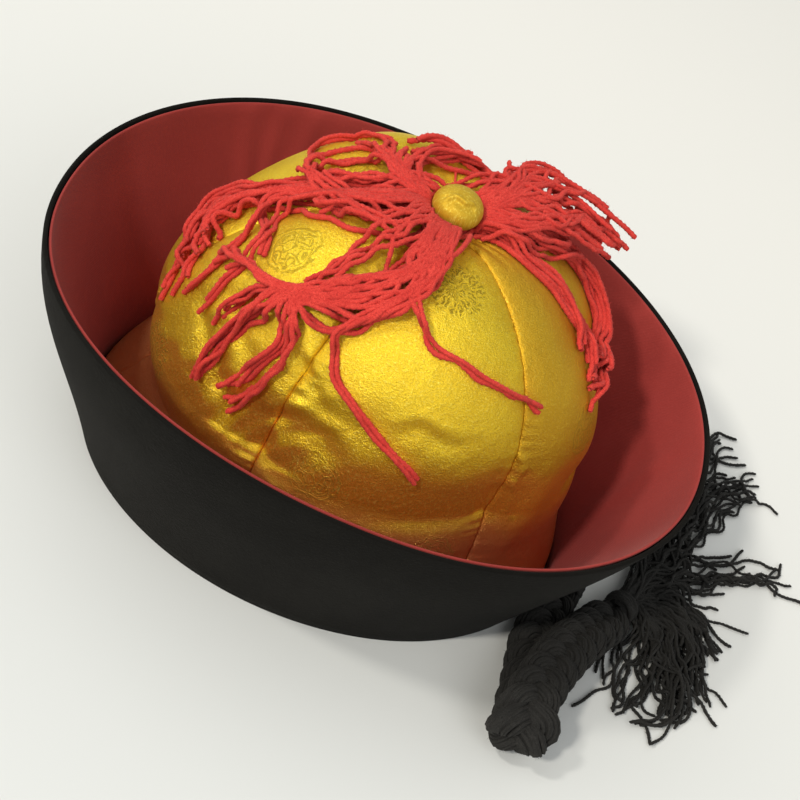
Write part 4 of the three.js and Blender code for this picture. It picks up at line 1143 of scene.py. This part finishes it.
def fringe(material, line, end):
    """Yarns that leave the binding all over its end, settle, and lie over each other."""
    aside = np.array([end[1], -end[0], 0])
    start = line[-1] + end * (TIE["gap"] + TIE["width"] - FRINGE_HEAD["inside_tie"])
    start[2] = FRINGE_HEAD["radius"] + FRINGE_FLOOR
    ahead = tuple((start + end * FRINGE_HEAD["ahead"])[:2])
    pile = Pile((-160, 100), (110, 240))
    tubes, loose = [], []
    step = BLACK_YARN["step"]
    yarns = [(bundle, k) for bundle in BLACK_BUNDLES for k in range(bundle[1])]
    for k in random.permutation(len(yarns)):
        (stops, count, widths, uneven), number = yarns[k]
        turn, out = random.uniform(0, 2 * np.pi), math.sqrt(random.uniform(0, 1)) * FRINGE_HEAD["yarns"]
        low, beside = out * math.sin(turn), out * math.cos(turn)
        guide = smooth_path([ahead] + stops, step)
        run = np.linspace(0, 1, len(guide))
        place = (number + 0.5) / count - 0.5
        drift = np.linspace(place + random.normal(0, 0.35), place + random.normal(0, 0.45), len(guide))
        sway = swaying(len(guide), BLACK_YARN, BLACK_YARN["sway"])
        from_head = ease(run / BLACK_YARN["from_root"])
        path = guide + left_of(guide) * ((drift * width_along(widths, run) + sway) * from_head)[:, None]
        path = path + aside[:2] * (beside * (1 - from_head))[:, None]
        path = np.concatenate([[(start + aside * beside)[:2]], path])
        path = path[: int(len(path) * (1 - random.uniform(0, uneven)))]
        if random.random() < BLACK_YARN["bent_tips"]:
            path = bent_tip(path, left_of(path), BLACK_YARN)
        path = spaced(path, step)
        radius = BLACK_YARN["radius"] * random.uniform(*BLACK_YARN["spread"])
        lying = pile.rest(path, radius, BLACK_YARN["press"], BLACK_YARN["highest"])
        settle = ease(np.linspace(0, 1, len(path)) / BLACK_YARN["settled"])
        from_tie = start[2] + low * FRINGE_HEAD["squashed"]
        z = blend(from_tie, np.minimum(lying, FRINGE_HIGHEST["settled"]), settle)
        z = np.maximum(z, np.minimum(lying, FRINGE_HIGHEST["crossing"]) * settle)
        pile.add(path, z, radius)
        points = np.column_stack([path, z + OFF_FLOOR])
        tubes.append(tube(points, np.tile(UP, (len(points), 1)), radius, **BLACK_PLIES, phase=turn))
        loose.append((points, radius))
    for k in range(2):
        piece = tubes_piece("queue_fringe_%d" % (k + 1), tubes[k::2], material)
        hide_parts("queue_tassel")
    piece = fuzz("queue_fringe_fibres", loose, material, "black_yarn", **FRINGE_FIBRES)
    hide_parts("queue_tassel")


# The brim

BRIM_ROWS = {"count": 21, "to": 0.99}
LINING_ROWS = {"count": 25, "below": 0.006, "above": 0.004}  # how its rolled edge spans the top
LINING_RIPPLE = {"in": 0.35, "fade": 0.15}
# Heading, half-width in degrees and how far in
LINING_FOLDS = [(197, 1.6, 0.9), (205, 1.8, 1.6), (211, 1.5, 1.0), (220, 2.2, 1.5), (96, 3, 0.6)]
LINING_FOLD = {"fade": 0.3, "sway": 2.5}


def wall_section(rows, top, near, far):
    """Ups and depths up a wall's near face, over its upper edge and down its far face."""
    swing = np.linspace(0, np.pi, 9)[1:-1]
    up = np.concatenate([rows, blend(rows[-1], top, np.sin(swing)), rows[::-1]])
    over = blend(near[-1], far[-1], (1 - np.cos(swing)) / 2)
    return up, np.concatenate([near, over, far[::-1]])


def brim(shell_material, lining_material):
    """The velvet wall and the cloth inside it, which ripples and has a few folds."""
    heading = np.arange(360.0)[:, None]
    rows = np.linspace(0, BRIM_ROWS["to"], BRIM_ROWS["count"])
    up, depth = wall_section(rows, 1.0, 0 * rows, BRIM_WALL + 0 * rows)
    section = in_brim(heading, up[None], depth)
    section[:, [0, -1], 2] = 0
    shell = ring_wall("velvet_brim", section, shell_material)
    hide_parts("brim_shell")
    low, high = LINING["low"], LINING["high"]
    rows = np.linspace(low, high - LINING_ROWS["below"], LINING_ROWS["count"])
    risen = ease((rows - low) / LINING_FOOT["reach"])
    near = BRIM_WALL + blend(LINING_FOOT["gap"], LINING["gap"], risen)
    far = near + blend(LINING_FOOT["wall"], LINING["wall"], risen)
    up, depth = wall_section(rows, high + LINING_ROWS["above"], near, far)
    turn = np.radians(heading)
    level = (rows[::-1] - low) / (high - low)
    ripple = np.sin(17 * turn + 3 * np.sin(2 * turn) + level) * np.sin(5 * turn + 1)
    inward = LINING_RIPPLE["in"] * (1 + ripple) * ease(level / LINING_RIPPLE["fade"])
    for place, wide, far_in in LINING_FOLDS:
        bent = turned_from(heading, place) + LINING_FOLD["sway"] * np.sin(2.5 * level + place)
        inward = inward + far_in * bell(bent / wide) * ease(level / LINING_FOLD["fade"])
    depth = np.tile(depth, (len(heading), 1))
    depth[:, -len(rows) :] += inward * np.sin(np.pi * np.clip(level, 0, 1)) ** 0.5
    section = in_brim(heading, up[None], depth)
    lining = ring_wall("red_lining", section, lining_material)
    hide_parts("brim_lining")


# The crown

# Woven roundels: heading, up, turn and kind, with a line for each gore
FLOWER, ARCS, PLAIN = 0.0, 1.0, 9.0
MEDALLIONS = [
    (11, 0.86, 10, FLOWER), (355, 0.405, 80, ARCS), (28, 0.24, 200, ARCS),
    (311, 0.73, 40, ARCS), (300, 0.38, 130, FLOWER),
    (70, 0.55, 300, ARCS), (84, 0.24, 20, ARCS),
    (131, 0.86, 120, ARCS), (118, 0.42, 240, ARCS), (146, 0.24, 330, FLOWER),
    (191, 0.73, 60, ARCS), (204, 0.38, 190, FLOWER),
    (251, 0.86, 160, ARCS), (238, 0.42, 50, FLOWER), (266, 0.24, 110, FLOWER),
]
MEDALLION = {"radius": 12.5, "reach": 1.25}
GORE_FINE = {"columns": 45, "rows": 150, "gap": 0.12, "roll": 1.1, "tuck": 0.8, "closer": 1.35}
# These gores get the copy of the satin with painted shade
PAINTED_SHADE_GORES = (0, 1)


def motif_at(points):
    """Each point's place in the nearest roundel, in shares of its radius, with its kind."""
    best = np.full(len(points), 1e9)
    found = np.full((len(points), 3), PLAIN)
    for h, u, turn, kind in MEDALLIONS:
        place = np.array([float(h)]), np.array([u])
        level, rise = [unit(way)[0] for way in ways(crown_face, *place, 0.5, 0.01)]
        away = points - on_crown(*place, 0.0)[0]
        x, y = away @ level, away @ rise
        distance = np.linalg.norm(away, axis=1)
        c, s = math.cos(math.radians(turn)), math.sin(math.radians(turn))
        scale = distance / np.maximum(np.hypot(x, y), 1e-6) / MEDALLION["radius"]
        kinds = np.where(distance > MEDALLION["reach"] * MEDALLION["radius"], PLAIN, kind)
        here = np.stack([(x * c + y * s) * scale, (y * c - x * s) * scale, kinds], -1)
        closer = distance < best
        found[closer] = here[closer]
        best = np.minimum(best, distance)
    return found


def shell_faces(columns, rows):
    """Faces of a closed shell: a grid of outer points, one of inner points, and four edges."""
    count = columns * rows
    front = grid_faces(columns, rows, False, False)[0]
    i, j = np.arange(columns - 1), np.arange(rows - 1)
    foot = np.stack([i * rows, count + i * rows, count + (i + 1) * rows, (i + 1) * rows], -1)
    left = np.stack([j, j + 1, count + j + 1, count + j], -1)
    apex, right = foot[:, ::-1] + rows - 1, left[:, ::-1] + (columns - 1) * rows
    return [front, front[:, ::-1] + count, foot, apex, left, right]


def crown(material, painted_shade_satin):
    """The gores, each rolled in along its seams, with its puckers, creases and roundels."""
    span = 360 / GORES
    x = np.linspace(-1, 1, GORE_FINE["columns"])
    x = np.sign(x) * (1 - (1 - np.abs(x)) ** GORE_FINE["closer"])
    up = np.linspace(0, 1, GORE_FINE["rows"])
    faces = shell_faces(len(x), len(up))
    for number in range(GORES):
        middle = FIRST_SEAM + span * (number + 0.5)
        level, rise = np.broadcast_arrays(middle + x[:, None] * span / 2 * 0.9999, up[None])
        plain = crown_face(level, rise)
        half_wide = np.radians(span / 2) * np.hypot(plain[..., 0], plain[..., 1])
        rolled = np.clip(1 - (1 - np.abs(x))[:, None] * half_wide / GORE_FINE["roll"], 0, 1)
        tuck = GORE_FINE["roll"] * GORE_FINE["tuck"] * (1 - np.sqrt(1 - rolled * rolled))
        sideways = np.array([-math.sin(math.radians(middle)), math.cos(math.radians(middle)), 0])
        edge = np.stack([-np.sin(np.radians(level)), np.cos(np.radians(level)), 0 * level], -1)
        shift = blend(edge, sideways, EDGE_TURN) * (-x[:, None, None] * GORE_FINE["gap"] / 2)
        outer = on_crown(level, rise, -tuck, fine_relief) + shift
        inner = on_crown(level, rise, -CROWN["wall"]) + shift
        points = np.concatenate([outer.reshape(-1, 3), inner.reshape(-1, 3)])
        high = np.broadcast_to(up * CLOTH_LENGTH, half_wide.shape)
        flat = np.tile(np.stack([x[:, None] * half_wide, high], -1).reshape(-1, 2), (2, 1))
        maps, motif = [flat[f] for f in faces], motif_at(points)
        # Two gores get the copy of the satin with painted shade
        cloth = painted_shade_satin if number in PAINTED_SHADE_GORES else material
        gore = new_piece("satin_gore_%d" % (number + 1), points, faces, cloth, maps, motif)
        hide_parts("crown_gore_%d" % (number + 1))


BUTTON_FINE = {"sides": 96, "arcs": 60, "tip": 0.02, "middle": 5}
BUTTON_GATHERS = {"count": 17, "out": 0.02, "to": 0.45}
# Across the button's top runs a crease with a hollow on one side of it
BUTTON_CREASE = [(5.5, -6.5), (3.2, -2.6), (4.4, 1.5), (2.4, 5.8)]
CREASE_RIDGE = {"out": 0.75, "wide": 0.9}
CREASE_HOLLOW = {"in": 0.8, "aside": 1.9, "wide": 1.3, "beyond": 3.3}
CREASE_FADE = {"up": 0.4, "ends": 0.15}


def covered_button(material):
    """The ball button: satin drawn over a form, with a crease across its top."""
    sides, arcs = BUTTON_FINE["sides"], BUTTON_FINE["arcs"]
    low = math.asin(BUTTON["lowest"])
    risen = np.linspace(0, 1, arcs)
    turn = blend(low, np.pi / 2, risen)
    radius = BUTTON["radius"] * np.cos(turn)
    radius[-1] = BUTTON_FINE["tip"]
    level = 2 * np.pi * np.arange(sides)[:, None] / sides
    gathered = np.sin(level * BUTTON_GATHERS["count"]) * ease(1 - risen / BUTTON_GATHERS["to"])
    radius = radius * (1 + BUTTON_GATHERS["out"] * gathered)
    x, y = radius * np.cos(level), radius * np.sin(level)
    z = BUTTON["height"] * (np.sin(turn) - math.sin(low)) / (1 - math.sin(low)) + 0 * x
    distance, share = to_polyline(x, y, BUTTON_CREASE)
    hollow = bell((distance - CREASE_HOLLOW["aside"]) / CREASE_HOLLOW["wide"])
    hollow = hollow * (x > CREASE_HOLLOW["beyond"])
    lift = CREASE_RIDGE["out"] * bell(distance / CREASE_RIDGE["wide"]) - CREASE_HOLLOW["in"] * hollow
    lift = lift * ease(risen / CREASE_FADE["up"]) * fading(share, CREASE_FADE["ends"])
    outward = unit(np.stack([x, y, z - BUTTON_FINE["middle"]], -1))
    points = np.stack([x, y, z], -1) + outward * lift[..., None]
    points = points + over_apex(BUTTON["bottom"])
    ends = [over_apex(BUTTON["bottom"] + BUTTON["height"]), over_apex(BUTTON["bottom"])]
    points = np.concatenate([points.reshape(-1, 3), ends])
    i = np.arange(sides)
    k = (i + 1) % sides
    top = np.stack([i * arcs + arcs - 1, k * arcs + arcs - 1, np.full(sides, sides * arcs)], -1)
    under = np.stack([k * arcs, i * arcs, np.full(sides, sides * arcs + 1)], -1)
    faces = [grid_faces(sides, arcs, True, False)[0], top, under]
    maps = [points[f][..., :2] for f in faces]
    button = new_piece("covered_button", points, faces, material, maps)
    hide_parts("top_button")


# Floor and light

FLOOR = {"far": 4.0, "down": 0.0004}
LIGHTS_TOWARD = (0, 0.02, 0.06)
# Name, direction, distance, size, power and colour
LIGHTS = [
    ("key", (0.601, -0.437, 0.669), 4.0, 0.36, 74.0, (1.0, 0.965, 0.90)),
    ("second", (0.241, -0.596, 0.766), 4.0, 0.4, 38.0, (1.0, 0.975, 0.93)),
    ("ceiling", (-0.1, -0.5, 0.86), 2.2, 2.0, 10.0, (0.97, 0.985, 1.0)),
    ("panel", (0.66, 0.38, 0.65), 2.2, 1.6, 11.0, (0.93, 0.955, 1.0)),
]
SKY = {"color": (0.95, 0.98, 1.0, 1), "strength": 0.47}


def stage():
    """A pale floor with painted light: a little warmer and lighter to one side."""
    floor_mesh = bpy.data.meshes.new("floor")
    far = FLOOR["far"]
    corners = [(-far, -far, 0), (far, -far, 0), (far, far, 0), (-far, far, 0)]
    floor_mesh.from_pydata(corners, [], [(0, 1, 2, 3)])
    floor = bpy.data.objects.new("floor", floor_mesh)
    floor.location.z = -FLOOR["down"]
    n = Nodes("floor")
    x, y, _ = n.split(n.place())
    # Painted light: the floor is lighter and warmer towards one side
    across = y * 0.4 - x * 0.9 + n.noise(n.place(), 3.0, 3.0) * 0.1
    color = n.mix(n.steps(across, -0.2, 0.5), (0.70, 0.705, 0.67), (0.82, 0.80, 0.735))
    floor_mesh.materials.append(n.set(Base_Color=color, Roughness=0.8))
    bpy.context.scene.collection.objects.link(floor)


def lighting():
    world = bpy.data.worlds.new("studio")
    world.use_nodes = True
    background = world.node_tree.nodes["Background"]
    background.inputs["Color"].default_value = SKY["color"]
    background.inputs["Strength"].default_value = SKY["strength"]
    bpy.context.scene.world = world
    for name, toward, distance, size, power, color in LIGHTS:
        data = bpy.data.lights.new(name, "AREA")
        data.shape = "DISK"
        data.size = size
        data.energy = power
        data.color = color
        light = bpy.data.objects.new(name, data)
        direction = Vector(toward).normalized()
        light.location = Vector(LIGHTS_TOWARD) + direction * distance
        light.rotation_euler = direction.to_track_quat("Z", "Y").to_euler()
        bpy.context.scene.collection.objects.link(light)
    bpy.context.scene.view_settings.view_transform = "Standard"


add_camera()
yarn_black = yarn("black_yarn", (0.0120, 0.0114, 0.0100), (0.033, 0.031, 0.0275), 0.05, (0.7, 0.66, 0.6))
queue, queue_fibres, queue_line, queue_length = plait(yarn_black)
tie_piece, queue_end = bound_ends(yarn_black, queue_line)
fringe(yarn_black, queue_line, queue_end)
brim(velvet(), red_cloth())
crown(satin("gold_satin", True), satin("gold_satin_painted_shade", True, 0.52))
covered_button(satin("button_satin", False))
red_tassel(yarn("red_yarn", (0.48, 0.024, 0.020), (0.80, 0.080, 0.056), 0.15, (1.0, 0.4, 0.35)))
stage()
lighting()
